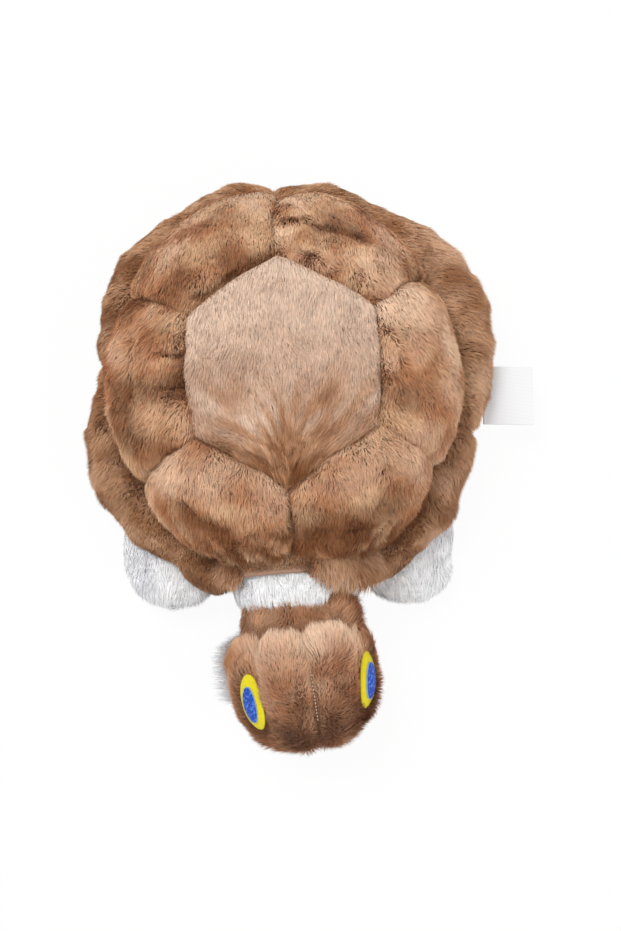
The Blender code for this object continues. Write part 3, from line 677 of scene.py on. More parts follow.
copies = add(tree, "GeometryNodeInstanceOnPoints", {"Points": points, "Instance": ribbon})
fibres = add(tree, "GeometryNodeRealizeInstances", (copies,))

# %% Plush pile: lay each ribbon along its curve, and keep it above the floor
least_height = 0.3 * MM
along, across = (add(tree, READ, {"Name": name}, "Attribute", data_type="FLOAT")
                 for name in ("along", "across"))
left = add(tree, MATH, (1.0, along), operation="SUBTRACT")
shares = [add(tree, MATH, pair, operation="MULTIPLY")
          for pair in ((left, left), (left, along), (along, along))]
shares[1] = add(tree, MATH, (shares[1], 2.0), operation="MULTIPLY")
half_width = add(tree, MATH, (given["Fibre width"], 0.5), operation="MULTIPLY")
taper = add(tree, MATH, (along, -tip_narrowing, 1.0), operation="MULTIPLY_ADD")
for factor in (across, half_width):
    taper = add(tree, MATH, (taper, factor), operation="MULTIPLY")
curve = None
for name, share in zip(("root", "bend", "tip", "side"), shares + [taper]):
    part = add(tree, READ, {"Name": name}, "Attribute", data_type="FLOAT_VECTOR")
    part = add(tree, VECTOR, {0: part, "Scale": share}, operation="SCALE")
    curve = add(tree, VECTOR, (curve, part), operation="ADD") if curve else part
x, y, z = add(tree, "ShaderNodeSeparateXYZ", (curve,), None)
z = add(tree, MATH, (z, least_height), operation="MAXIMUM")
above = add(tree, "ShaderNodeCombineXYZ", (x, y, z))
fibres = add(tree, "GeometryNodeSetPosition", {"Geometry": fibres, "Position": above})
for name in ("root", "tip", "bend", "side"):
    fibres = add(tree, "GeometryNodeRemoveAttribute", {"Geometry": fibres, "Name": name})
both = add(tree, "GeometryNodeJoinGeometry", (fibres,))
tree.links.new(given["Geometry"], both.node.inputs[0])
end_tree(tree, given, both)

# %% [markdown]
# Each furred piece gets a UV map in which every fibre and every face of cloth has a small square of
# its own, so that colour can be baked onto it without one fibre's paint landing on another.

# %% Plant the pile and finish a piece
uv_margin = 0.16


def spread_squares(mesh):
    """Give each fibre and each face of cloth a square of its own in the UV map."""
    count = len(mesh.loops)
    corner_vert = np.empty(count, np.int32)
    mesh.loops.foreach_get("vertex_index", corner_vert)
    attributes = {}
    for name, kind in (("strand", np.int32), ("along", np.float32), ("across", np.float32)):
        values = np.zeros(len(mesh.vertices), kind)
        mesh.attributes[name].data.foreach_get("value", values)
        attributes[name] = values[corner_vert]
    starts = np.empty(len(mesh.polygons), np.int32)
    sizes = np.empty(len(mesh.polygons), np.int32)
    mesh.polygons.foreach_get("loop_start", starts)
    mesh.polygons.foreach_get("loop_total", sizes)
    face_of = np.repeat(np.arange(len(starts)), sizes)
    corner = np.arange(count) - np.repeat(starts, sizes)
    square = attributes["strand"].astype(np.int64) - 1
    x = attributes["across"] * 0.5 + 0.5
    y = attributes["along"].copy()
    bare = square < 0
    bare_faces = np.unique(face_of[bare])
    order = np.zeros(len(starts), np.int64)
    order[bare_faces] = np.arange(len(bare_faces))
    square[bare] = square.max() + 1 + order[face_of[bare]]
    x[bare] = np.isin(corner[bare], (1, 2))
    y[bare] = np.isin(corner[bare], (2, 3))
    side = math.ceil(math.sqrt(square.max() + 1))
    uv = np.stack((square % side + uv_margin + (1 - 2 * uv_margin) * x,
                   square // side + uv_margin + (1 - 2 * uv_margin) * y), axis=1) / side
    layer = mesh.uv_layers.new(name="OFBake")
    layer.uv.foreach_set("vector", uv.astype(np.float32).ravel())


def finish_soft(piece, body, node):
    """Attach a furred or stuffed piece to the body that it rides on, and hide the imported part that it
    stands for.
    """
    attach(piece, body)
    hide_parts(node)
    print(piece.name, len(piece.data.polygons), "faces")


def plant(name, cloth, material, fibre, body, node):
    """Turn a backing cloth into a finished furred piece; the fibres' lengths and widths are in mm."""
    line_cloth(cloth)
    values = {"Fibres per square metre": fibre["per_mm2"] * 1e6, "Pile length": fibre["length"] * MM,
              "Fibre width": fibre["width"] * MM, "Lean": fibre["lean"], "Clumping": fibre["clumping"],
              "Tufts per square metre": 1e6 / fibre["tuft"] ** 2, "Unruliness": fibre["unruly"],
              "Seed": fibre["seed"], "Material": material}
    piece = grow(name, as_mesh(cloth, name), pile_tree, pile_identifiers, values)
    spread_squares(piece.data)
    finish_soft(piece, body, node)


# %% [markdown]
# The hexagon on top is pale and its pile is brushed towards the head, down to the front corner, where
# the nap runs together. Its cloth is a disc woven from the middle out to six straight seams.

# %% Centre plate: its cloth
plate_polar = math.asin((66.0 * MM / shell_half_width) ** (1 / shell.shares[0]))
plate_shift = 7.0 * MM / shell_half_length
plate_tip_share = 0.95
plate_crown = 6.5 * MM
front_corner = Vector((0.0, -66.0, 0.0)) * MM
# Real pile is far finer than a picture can show, so its fibres are drawn about half a millimetre wide.
long_pile = {"per_mm2": 3.05, "length": 8.2, "width": 0.58, "lean": 0.9, "clumping": 0.18, "tuft": 2.4,
             "unruly": 0.7, "seed": 1}


def seam_corner(index, polar, shifted):
    """A corner of the hexagon, or of the rim's top below it, as a flat vector of angles."""
    angle = math.radians(90.0 + 60.0 * index)
    tip = plate_tip_share if index % 3 == 0 and shifted else 1.0
    shift = plate_shift if shifted else 0.0
    return Vector((polar * math.cos(angle), polar * math.sin(angle) * tip - shift))


def seam_pile(distance_mm, least=0.42, reach=6.5):
    """Pile is caught short at a seam, and is full a few millimetres away."""
    return least + (1.0 - least) * smooth(distance_mm, 0.0, reach)


def centre_plate_point(u, v):
    index = min(int(u * 6), 5)
    polar = plate_polar - half_sewing_angle
    border = seam_corner(index, polar, True).lerp(seam_corner(index + 1, polar, True), u * 6 - index)
    middle = Vector((0.0, -plate_shift))
    lift = seam_depth + plate_crown * pillow(0.5 + 0.5 * v) - pile_sink
    return shell.point(*spot(middle.lerp(border, v)), lift)


# %% Centre plate: its nap and colour
def near_front_corner(place):
    return past(-place.y - 0.45 * abs(place.x), 30.0, 62.0)


def towards_front_corner(place):
    """The nap runs forward, and gathers at the front corner of the hexagon."""
    gather = front_corner - Vector((place.x, place.y, 0.0))
    return Vector((0.0, -1.0, 0.0)).lerp(gather.normalized(), past(-place.y, 5.0, 55.0))


def paler_behind(place):
    """Pale at the rear and middle, and brown in front, in streaks that run to the front corner."""
    wander = waves(place, 22.0) * 9.0 * MM
    away = place - front_corner
    streak = noise.noise(Vector((math.atan2(away.x, away.y) * 8.0, away.xy.length / (24.0 * MM), 3.0)))
    streak *= 1.3 * past(-place.y, -5.0, 45.0)
    patch = 0.6 * near(place, (30.0, -21.0), 7.0) + 0.4 * near(place, (24.0, -26.0), 6.0)
    patch += 1.4 * waves(place, 5.0) * near_front_corner(place)
    return past(place.y + wander, -75.0, 30.0) - 0.9 * near_front_corner(place) + streak - patch


def hexagon_pile(u, v, place):
    """Short at the seams, but in front the pile hangs over them."""
    return seam_pile((1 - v) * 58.0) + 0.5 * near_front_corner(place)


cloth = weave(centre_plate_point, 72, 26, hexagon_pile, shell_middle)
crumple(cloth, ((30.0, 1.6), (11.0, 0.5)), seed=3.0)
comb(cloth, towards_front_corner, swirl=0.5, size=17.0, seed=2.0)
brush(cloth, lambda place: Vector((0.0, -1.2, -0.8)), near_front_corner)
ruffle(cloth, lambda place: 0.15 + 1.3 * near_front_corner(place), size=8.0)
tint(cloth, paler_behind, seams=0.25)
centre_pile = dict(long_pile, per_mm2=3.9, length=7.8, lean=1.3, clumping=0.12, tuft=2.0, unruly=0.5, seed=4)
plant("centre_plate_fur", cloth, beige_plush, centre_pile, "shell", "centre_plate")

# %% [markdown]
# Six plates run from the hexagon to the rim. Each is stuffed on its own, so its middle stands proud and
# its seams lie deep. The nap runs towards the head, and outwards over the groove at the rim.

# %% Side plates: their cloth
plate_foot = math.radians(88.2)
side_plate_crown = 9.1 * MM


def panel_between(left_line, right_line, lobe, lift):
    """A panel on a filling between two seams, each a line of flat angles, lifted as a function says."""
    def point(u, v):
        left, right = left_line(v), right_line(v)
        polar, around = spot(left.lerp(right, u))
        polar += (left.length * (1 - u) + right.length * u - polar) * v
        return lobe.point(polar, around, lift(u, v, polar, around))
    return point


def side_plate_point(index):
    inner = plate_polar + half_sewing_angle

    def line(corner, direction):
        start, end = seam_corner(corner, inner, True), seam_corner(corner, plate_foot, False)
        sideways = Vector((-start.y, start.x)).normalized() * half_sewing_angle * direction
        return lambda v: start.lerp(end, v) + sideways

    return panel_between(line(index, 1), line(index + 1, -1), shell, lambda u, v, polar, around:
                         seam_depth - sewing_gap + side_plate_crown * pillow(u) * pillow(v) - pile_sink)


def panel_pile(wide, tall, least=0.62, open_foot=False):
    """Short pile at a panel's seams, but in places it spills over them, and over an open foot all along."""
    def pile(u, v, place):
        spill = 0.7 * max(waves(place, 16.0), 0.0)
        end = v if open_foot else min(v, 1 - v)
        foot = 0.5 * smooth(v, 0.85, 0.97) if open_foot else 0.0
        return seam_pile(min(min(u, 1 - u) * wide, end * tall), min(least + spill + foot, 1.0))
    return pile


# %% Side plates: their nap and colour
# A spot on the front right plate where the pile curls and is a little darker.
curled_spot = 57.0, -94.0


def near_foot(place):
    """One along the plates' outer edge, where they meet the rim."""
    return past(-place.z, -78.0, -66.0)


def front_edge(place):
    return past(-place.y, 95.0, 107.0)


def down_the_dome(place):
    """The nap runs towards the head, as the cloth was cut, and falls outwards a little."""
    outward = Vector((place.x, place.y + 10.0 * MM, 0.0)).normalized()
    return outward * 0.25 + Vector((0.0, -1.0, 0.6 * past(place.y, 30.0, 90.0)))


def over_the_groove(place):
    """Along its outer edge the pile of a plate hangs out over the groove."""
    return Vector((place.x, place.y, 0.0)).normalized() * 1.5 + Vector((0.0, 0.0, -0.8))


# Creases seen on the toy: lines in mm, then depth, width and how much painted shade darkens them.
plate_folds = {
    "rear_left_plate": ((((-51.0, 43.0), (-42.0, 48.0), (-35.0, 53.0), (-25.0, 56.0)), 3.5, 2.2, 0.8),),
    "rear_right_plate": ((((6.0, 88.0), (18.0, 89.0), (28.0, 82.0), (41.0, 81.0), (56.0, 73.0)),
                          2.0, 3.6, 0.35),),
    "left_plate": ((((-78.0, 8.0), (-66.0, 5.0), (-58.0, 4.0)), 1.2, 3.0, 0.3),
                   (((-76.0, -12.0), (-66.0, -15.0), (-58.0, -17.0)), 1.2, 3.0, 0.3),
                   (((-92.0, 20.0), (-95.0, 4.0), (-94.0, -14.0)), 1.5, 5.0, 0.4)),
    "right_plate": ((((66.0, 12.0), (72.0, 2.0), (74.0, -12.0)), 1.5, 4.0, 0.4),),
    "front_left_plate": ((((-68.0, -80.0), (-56.0, -92.0), (-40.0, -100.0)), 2.0, 4.0, 0.5),),
    "front_right_plate": ((((18.0, -104.0), (30.0, -108.0), (44.0, -104.0)), 2.0, 5.0, 0.6),),
}
# How pale each plate is as a whole, partly its dye and partly painted light and shade for how it faces the
# light, and how wavy its pile.
plate_looks = {"rear_left_plate": (-0.05, 0.25), "left_plate": (-0.15, 0.9), "front_left_plate": (0.1, 0.4),
               "front_right_plate": (-0.15, 0.5), "right_plate": (0.32, 0.4), "rear_right_plate": (0.05, 0.9)}

# %% Side plates
for index, (name, (paleness_and_painted_light, waviness)) in enumerate(plate_looks.items()):
    in_front = name.startswith("front")

    def plate_tone(place):
        patches = 1.2 * waves(place, 26.0, (0, 0, 40.0 + index))
        if in_front:
            patches = 0.7 * patches + 0.5 - 0.9 * past(-place.y, 66.0, 102.0)
        curls = front_edge(place) * (0.35 + 1.5 * waves(place, 6.0))
        # The pile along the outer edge is painted paler: painted light where it is side-lit.
        return patches + paleness_and_painted_light + 0.35 * near_foot(place) - curls - 0.3 * near(place, curled_spot, 13.0)

    cloth = weave(side_plate_point(index), 34, 30, panel_pile(85.0, 75.0, 0.44, True), shell_middle)
    if in_front:
        trim(cloth, clear_of_neck)
    crumple(cloth, ((34.0, 3.0), (13.0, 1.2)), seed=5.0 + index)
    comb(cloth, down_the_dome, swirl=0.6, size=15.0, seed=7.0 + index)
    brush(cloth, over_the_groove, near_foot)
    ruffle(cloth, lambda place: waviness + 1.6 * front_edge(place) + 1.3 * near(place, curled_spot, 14.0),
           size=9.0)
    tint(cloth, plate_tone, seams=0.4)
    for crease in plate_folds[name]:
        fold(cloth, *crease)
    plant(name + "_fur", cloth, tan_plush, dict(long_pile, seed=20 + index), "shell", name)

# %% [markdown]
# The rim is a fat roll with soft waves along it. Four lengths meet at seams, and its pile swirls more
# than the plates' pile and is longer in some places than in others.

# %% Rim: its cloth
rim_top, rim_bottom = math.radians(86.7), math.radians(119.0)
rim_depth = 31.0 * MM
rim_middle_mm = 134
rim_thread_mm = 3.2
# Shares by the angle round the shell: how far the rim stands out, and how long its pile is.
rim_reaches = ((-60, 1.00), (-42, 0.94), (-30, 0.80), (-20, 0.84), (0, 1.04), (12, 1.24), (24, 1.42),
               (33, 1.41), (42, 1.28), (54, 0.98), (72, 0.94), (90, 0.88), (102, 0.98), (120, 1.00),
               (138, 1.12), (150, 0.96), (160, 0.76), (170, 0.62), (180, 0.78), (192, 0.95),
               (204, 1.12), (216, 1.00), (300, 1.00))
rim_lengths = ((-60, 0.50), (-53, 0.50), (-46, 0.80), (-36, 1.30), (-22, 1.15), (0, 1.05), (14, 1.30),
               (25, 1.50), (36, 1.20), (60, 1.00), (170, 0.90), (200, 1.20), (214, 0.85), (226, 0.40),
               (245, 0.60), (300, 0.60))


def read_table(table, around):
    """The share that a table of angles gives at an angle round the shell."""
    angle = -60.0 + (math.degrees(around) + 60.0) % 360.0
    for (low, start), (high, end) in zip(table, table[1:]):
        if angle <= high:
            return start + (end - start) * smooth(angle, low, high)
    return table[-1][1]


def rim_point(first, last):
    def point(u, v):
        around = first + (last - first) * u
        ends = 0.74 + 0.26 * pillow(u)
        lift = seam_depth + (rim_depth * read_table(rim_reaches, around) - seam_depth) * pillow(v) * ends
        return shell.point(rim_top + (rim_bottom - rim_top) * v, around, lift)
    return point


def rim_pile_share(wide):
    edges = panel_pile(wide, 70.0, 0.6)

    def pile(u, v, place):
        around = math.atan2(place.y / shell_half_length, place.x / shell_half_width)
        return edges(u, v, place) * read_table(rim_lengths, around)
    return pile


def rim_hollows(place):
    """The roll's cloth lies under its pile, and deeper at its two front ends."""
    return 3.2 + 4.5 * near(place, (-82.0, -114.0), 15.0) + 1.5 * near(place, (76.0, -113.0), 12.0)


# %% Rim: its nap and colour
def outwards(place):
    return Vector((place.x, place.y, -0.02)).normalized()


def over_the_rim(place):
    return outwards(place) * 0.6 + Vector((0.0, -0.6, 0.0))


def rim_tone(place):
    """Paler on the right than on the left."""
    return 0.9 * waves(place, 20.0, (0, 0, 60.0)) - 0.1 + 0.35 * past(place.x, 60.0, 110.0)


rim_pile = dict(long_pile, per_mm2=2.7, width=0.6, lean=0.8, unruly=0.8, tuft=2.8)
rims = {"rear_right_rim": (-15.0, 90.0), "rear_left_rim": (90.0, 170.0),
        "front_left_rim": (170.0, 250.0), "front_right_rim": (-70.0, -15.0)}
for index, (name, (first, last)) in enumerate(rims.items()):
    long_mm = math.radians(last - first) * rim_middle_mm
    point = rim_point(math.radians(first) + half_sewing_angle, math.radians(last) - half_sewing_angle)
    cloth = weave(point, max(int(long_mm / rim_thread_mm), 20), 22, rim_pile_share(long_mm), shell_middle)
    sink(cloth, rim_hollows)
    if name.startswith("front"):
        trim(cloth, clear_of_neck)
    trim(cloth, clear_of_legs)
    crumple(cloth, ((26.0, 3.0), (11.0, 1.4)), seed=17.0)
    comb(cloth, over_the_rim, swirl=0.9, size=13.0, seed=30.0 + index)
    ruffle(cloth, lambda place: 0.5, size=9.0)
    tint(cloth, rim_tone, seams=0.3)
    plant(name + "_fur", cloth, rim_plush, dict(rim_pile, seed=40 + index), "shell", name)

# %% [markdown]
# The underside is a white plush disc, flat where the toy stands, with its pile pressed short.

# %% Belly
belly_edge = math.radians(180.0 - 121.0)
belly_crown = 5.0 * MM
belly_floor = 2.4 * MM


def belly_point(u, v):
    lift = seam_depth + belly_crown * pillow(0.5 + 0.5 * v) - pile_sink
    place = shell.point(math.pi - belly_edge * v, math.tau * u, lift)
    place.z = max(place.z, belly_floor)
    return place


def belly_share(u, v, place):
    """Pressed short where the toy stands, and longer in front, over the neck opening."""
    return seam_pile((1 - v) * 95.0, 0.9) + 1.2 * past(58.0 * MM - from_neck(place), 0.0, 14.0)


cloth = weave(belly_point, 90, 28, belly_share, shell_middle)
trim(cloth, clear_of_neck, clear_of_legs)
comb(cloth, outwards, swirl=1.2, size=18.0, seed=50.0)
tint(cloth)
belly_pile = dict(long_pile, per_mm2=1.05, length=7.0, width=0.75, lean=1.6, seed=60)
plant("belly_fur", cloth, white_plush, belly_pile, "shell", "belly_panel")

# %% [markdown]
# The four legs are white socks of the same plush, stuffed thin and wide like flippers. Hardly anything
# of the rear ones is seen from above, so their fibres are fewer and wider.

# %% Legs
leg_sink = 3.0 * MM
leg_fibres = dict(long_pile, per_mm2=2.9, length=6.2, width=0.65, lean=1.7, clumping=0.08, unruly=0.5)
rear_leg_fibres = dict(leg_fibres, per_mm2=1.9, width=0.8)
for index, (name, (x, y, turn, length)) in enumerate(leg_sizes.items()):
    lobe, place_leg = leg_lobe(length, leg_sink), leg_frames[name]

    def leg_pile(u, v, place):
        """Short underneath, long at the tip and none inside the shell."""
        local = place_leg.inverted() @ place
        under = 0.55 if local.z < -8.0 * MM else 1.0
        tip = 1.0 + 0.8 * past(-local.y, 30.0, 48.0)
        return under * tip * past(-local.y, -14.0, 12.0)

    cloth = weave(lambda u, v: place_leg @ lobe.point(math.pi * v, math.tau * u), 56, 36, leg_pile,
                  place_leg @ leg_inside)
    crumple(cloth, ((24.0, 2.2), (10.0, 0.8)), seed=70.0 + index)
    heading = place_leg.to_3x3() @ Vector((0, -1, 0))
    comb(cloth, lambda place: heading, swirl=0.8, size=16.0, seed=80.0 + index)
    tint(cloth, lambda place: 0.5 * waves(place, 18.0))
    sock = dict(rear_leg_fibres if name.startswith("rear") else leg_fibres, seed=90 + index)
    plant(name + "_plush", cloth, white_plush, sock, name, name + "_fur")

# %% [markdown]
# The neck has a white collar whose long pile lies forward over a brown sleeve, and a folded hem on the
# shell arches over the collar.

# %% Collar
collar_sink = 4.0 * MM


def neck_place(forward_by, radius, around):
    """A place on the neck, which is wider than it is tall."""
    across, up = radius * math.cos(around), radius * math.sin(around)
    return Vector((across * neck_spread, -forward_by * neck_spread, up))


def collar_point(u, v):
    angle = math.radians(60.0 + 44.0 * v)
    radius = neck_ball_radius - collar_sink
    return neck_frame @ neck_place(radius * math.cos(angle), radius * math.sin(angle), math.tau * u)


def collar_share(u, v, place):
    """Long in front, short under the hem, and short where the brown pile covers its right end."""
    covered = past(place.x, 16.0, 24.0) * past(place.z, 44.0, 60.0)
    scallops = 1.0 + 0.7 * waves(place, 9.0, (0, 0, 8.0))
    return (scallops if v < 0.75 else 0.3) * (1.0 - 0.85 * covered)


cloth = weave(collar_point, 70, 12, collar_share, neck_pivot)
comb(cloth, lambda place: Vector((0, -1, 0)), swirl=0.5, size=10.0, seed=100.0)
tint(cloth)
collar_pile = dict(long_pile, per_mm2=3.4, length=8.6, lean=2.2, clumping=0.25, tuft=5.0, unruly=0.8,
                   seed=101)
plant("neck_collar_fur", cloth, white_plush, collar_pile, "neck", "neck_collar")

# %% Sleeve
neck_head_seat = Lobe((44.0 * MM, 32.0 * MM), 32.0 * MM, 32.0 * MM, (1.0, 1.0))
sleeve_start_mm, sleeve_long_mm = 19.5, 35.8
sleeve_radius_mm, sleeve_sink_mm, sleeve_flare_mm = 34.2, 3.6, 1.4


def sleeve_point(u, v):
    forward_by = (sleeve_start_mm + sleeve_long_mm * v) * MM
    radius = (sleeve_radius_mm - sleeve_sink_mm + sleeve_flare_mm * (2 * v - 1)) * MM
    return neck_frame @ neck_place(forward_by, radius, math.tau * u)


def clear_of_head(place):
    """The sleeve stops at the seat, and on top it stops behind the crown's back edge."""
    local = to_head @ place
    return not neck_head_seat.holds(local) and (local.z < 12.0 * MM or local.y > 17.0 * MM)


def sleeve_tone(place):
    """Deep in colour, and darker still behind the crown, with painted shadow there."""
    local = to_head @ place
    behind_crown = past(local.z, 8.0, 22.0) * past(-local.y, -28.0, -19.0)
    return 0.8 * waves(place, 14.0) - 0.35 - 0.6 * behind_crown


def on_right(place):
    """Where the brown pile of the neck is brushed back over the end of the collar."""
    return past(place.x, 14.0, 24.0) * past(place.z, 44.0, 60.0)


def sleeve_nap(place):
    return Vector((0, -1, 0)).lerp(Vector((0.3, 1.6, 0)), on_right(place))


def sleeve_share(u, v, place):
    return 1.0 + 0.6 * on_right(place) + 0.9 * past(place.x, 30.0, 40.0)


cloth = weave(sleeve_point, 70, 18, sleeve_share, neck_frame @ Vector((0, -42.0 * MM, 0)))
trim(cloth, clear_of_head)
crumple(cloth, ((16.0, 1.4),), seed=105.0)
comb(cloth, sleeve_nap, swirl=0.9, size=12.0, seed=106.0)
tint(cloth, sleeve_tone)
sleeve_pile = dict(long_pile, per_mm2=3.4, width=0.54, seed=107)
plant("neck_sleeve_fur", cloth, head_plush, sleeve_pile, "neck", "neck_fur")

# %% Hem
hem_reach = 74.0
hem_radius_mm, hem_bulge_mm = 41.6, 2.4


def hem_point(u, v):
    turn = math.radians(90.0 - hem_reach + 2 * hem_reach * u)
    angle = math.radians(83.0 + 25.0 * v)
    radius = (hem_radius_mm + hem_bulge_mm * pillow(v)) * MM
    return neck_pivot + neck_place(radius * math.cos(angle), radius * math.sin(angle), turn)


def hem_end(place):
    return past(place.x, 2.0, 25.0)


def hem_left(place):
    return past(-place.x, 31.0, 39.0)


def hem_share(u, v, place):
    """Bare only at the fold over the collar, and covered with long pile at both ends."""
    return max(smooth(v, 0.05, 0.3) * 0.8, hem_end(place) * 2.0, hem_left(place) * 1.2)


def hem_nap(place):
    return Vector((0, 1, 0)).lerp(Vector((0, -2.4, 0)), max(hem_end(place), hem_left(place)))


cloth = weave(hem_point, 60, 14, hem_share, neck_pivot)
comb(cloth, hem_nap, swirl=0.6, size=10.0, seed=110.0)
tint(cloth, lambda place: 0.8 * waves(place, 14.0))
plant("neck_hem_fur", cloth, hem_plush, dict(rim_pile, seed=111), "shell", "neck_hem")

# %% [markdown]
# Five panels cover the head. Their seams start at the mouth, and the two crown panels meet on top.
# The pile is clipped short where an eye is sewn on.

# %% Where the eyes are
head_half_width, head_half_height = 42.0 * MM, 30.0 * MM
head = Lobe((head_half_width, head_half_height), 47.5 * MM, head_half_height, (0.80, 1.0))
head_seam_depth, head_crown, eye_seat_depth = 4.8 * MM, 2.6 * MM, 4.8 * MM
crown_hump = 9.0 * MM
eye_sink = 0.9 * MM
# The eye's middle in the head's axes, in mm, and its turn in degrees.
eye_side, eye_forward, eye_rise, eye_turn = 31.8, 15.7, 14.0, -6.5
eye_size = 18.0 * MM, 7.8 * MM
pupil_size = 11.0 * MM, 4.4 * MM
pupil_forward = 0.5 * MM


class Eye:
    """An oval spot on the head, with its own flat axes for the fabric discs."""

    def __init__(self, side):
        polar, around = head.angles(Vector((side * eye_side, -eye_forward, eye_rise)) * MM)
        self.middle = head.point(polar, around)
        self.normal = (head.point(polar, around, head_half_height) - self.middle).normalized()
        ahead = (Vector((0, -1, 0)) - self.normal * self.normal.dot((0, -1, 0))).normalized()
        self.along = Matrix.Rotation(math.radians(eye_turn), 3, self.normal) @ ahead
        self.across = self.normal.cross(self.along)
        self.outer = 1.0 if self.across.z > 0 else -1.0

    def share(self, point):
        """How far out a point is, with one at the rim of the felt."""
        local = Vector(point) - self.middle
        return math.hypot(local.dot(self.along) / eye_size[0], local.dot(self.across) / eye_size[1])

    def place(self, share, angle, size, lift, forward_by=0.0):
        spot_on = (self.middle + self.along * (forward_by + share * size[0] * math.cos(angle))
                   + self.across * share * size[1] * math.sin(angle))
        return head_frame @ head.point(*head.angles(spot_on), lift)


eyes = {"left": Eye(-1), "right": Eye(1)}


def from_eyes(local):
    """How far a place on the head is from the nearer eye, with one at the rim of its felt."""
    return min(eye.share(local) for eye in eyes.values())


# %% Head panels: their cloth
def seam_line(start, end, shift):
    along = end - start
    sideways = Vector((-along.y, along.x)).normalized() * shift
    return lambda v: start.lerp(end, v) + sideways


def head_point(left_line, right_line, hump=0.0):
    """A panel between two seams; hump is how far the crown's back edge stands up."""
    def lift(u, v, polar, around):
        full = head_seam_depth + head_crown * pillow(u) * pillow(min(v, 0.5))
        nearest = from_eyes(head.point(polar, around))
        full += (eye_seat_depth - full) * smooth(2.0 - nearest, 0.0, 0.6)
        lobe = pillow(u, 4.0) if u > 0.5 else max(pillow(u, 4.0), 0.75)
        full += hump * smooth(v, 0.46, 0.76) * (1.0 - smooth(v, 0.80, 0.92)) * lobe
        return full - pile_sink + (pile_sink - eye_sink) * smooth(1.5 - nearest, 0.0, 0.4)

    point = panel_between(left_line, right_line, head, lift)
    return lambda u, v: head_frame @ point(u, v)


def beyond_right_eye(place):
    """One on the cheek at the outer edge of the right eye, whose pile stands up over the felt."""
    local = to_head @ place
    eye = eyes["right"]
    outer = past(-(local - eye.middle).dot(eye.across) * eye.outer, 1.0, 5.0)
    return outer * (1.0 - smooth(eye.share(local), 1.9, 2.6))


def head_pile(wide, tall):
    """Short at the seams and clipped round the eyes, but long along the back edge of the crown."""
    edges = panel_pile(wide, tall, 0.35)

    def pile(u, v, place):
        nearest = from_eyes(to_head @ place)
        ridge = smooth(v, 0.6, 0.74) * (1.0 - smooth(v, 0.82, 0.92))
        round_eye = smooth(nearest, 1.15, 1.35) - smooth(nearest, 1.6, 2.2)
        snout = 0.35 * (1.0 - smooth(v, 0.2, 0.34))
        long = 0.5 * ridge + 0.35 * round_eye + snout + 0.1 * beyond_right_eye(place)
        return (edges(u, min(v, 0.5), place) + long) * smooth(nearest, 0.97, 1.1)
    return pile


# %% Head panels: their nap and colour
def head_tone(place):
    """The crown's back edge is pale, the snout is dark, and painted shade darkens the crease round each eye.
    """
    local = to_head @ place
    back_edge = past(local.y, -12.0, 10.0) * past(local.z, 8.0, 22.0)
    snout = past(-local.y, 18.0, 42.0)
    crease = math.exp(-((from_eyes(local) - 1.1) / 0.15) ** 2)
    return 0.8 * back_edge - 0.7 * snout - 0.7 * crease + 0.5 * waves(place, 15.0)


def back_over_head(place):
    """The nap runs back over the head, and up over the outer edge of the right eye."""
    return head_frame.to_3x3() @ Vector((0, 1, 0.0)).lerp(Vector((-0.3, 0.2, 1.2)), beyond_right_eye(place))


# %% Crown and cheeks
head_trim = 0.5 * sewing_gap / head_half_height * slope_allowance
back_polar = math.radians(140.0)
mouth_polar = math.asin((14.0 * MM / head_half_height) ** (1 / head.shares[0]))
mouth_side, cheek_tip = 15.0 * MM / head_half_width, 2.5 * MM / head_half_height
mouth_middle = Vector((0.0, -mouth_polar + head_trim))
head_middle = head_frame @ Vector((0, 0, 0))
head_fibres = dict(long_pile, per_mm2=3.5, length=7.6, width=0.46)


def back_spot(angle, side=1):
    turn = math.radians(angle)
    return Vector((side * back_polar * math.cos(turn), back_polar * math.sin(turn)))


throat_lines = []
for side, name in ((-1, "left"), (1, "right")):
    corner = Vector((side * mouth_side, -mouth_polar + head_trim))
    low_corner = Vector((side * (mouth_side + cheek_tip), -mouth_polar - cheek_tip))
    upper, lower = back_spot(58.0, side), back_spot(-28.0, side)
    for part, hump, ends in (("_crown", crown_hump, (mouth_middle, back_spot(90.0), corner, upper)),
                             ("_cheek", 0.0, (corner, upper, low_corner, lower))):
        lines = seam_line(*ends[:2], -side * head_trim), seam_line(*ends[2:], side * head_trim)
        cloth = weave(head_point(*lines, hump), 26, 44, head_pile(36.0, 100.0), head_middle)
        crumple(cloth, ((14.0, 0.9),), seed=120.0)
        comb(cloth, back_over_head, swirl=0.9, size=12.0, seed=121.0)
        brush(cloth, lambda place: Vector((-0.3, 0.0, 1.6)), beyond_right_eye)
        tint(cloth, head_tone, seams=0.35)
        fibres = dict(head_fibres, seed=150 + side + len(part))
        plant(name + part + "_fur", cloth, head_plush, fibres, "head", name + part)
    throat_lines.append(seam_line(low_corner, lower, -side * head_trim))

# %% Throat
def on_left_jaw(place):
    """Where the white pile stands out beside the left cheek."""
    local = to_head @ place
    return past(-local.x, 18.0, 31.0) * past(local.y, -28.0, -12.0)


def throat_share(u, v, place):
    return panel_pile(90.0, 80.0)(u, v, place) + 2.3 * on_left_jaw(place)


def throat_nap(place):
    return head_frame.to_3x3() @ Vector((0, 1, 0)).lerp(Vector((-1.2, 0.3, 0.7)), on_left_jaw(place))


cloth = weave(head_point(*throat_lines), 40, 32, throat_share, head_middle)
comb(cloth, throat_nap, swirl=0.35, size=12.0, seed=140.0)
# Painted shade greys the white pile a little where it stands out beside the left cheek.
tint(cloth, lambda place: -0.2 * on_left_jaw(place))
throat_pile = dict(head_fibres, per_mm2=3.3, width=0.6, unruly=0.5, seed=141)
plant("throat_fur", cloth, white_plush, throat_pile, "head", "throat_panel")

# %% [markdown]
# Pale thread shows in two seams: along the middle of the crown, and for a short way at the front left
# of the hexagon. A second tree lays stitches of one length, at one pitch, along a path.

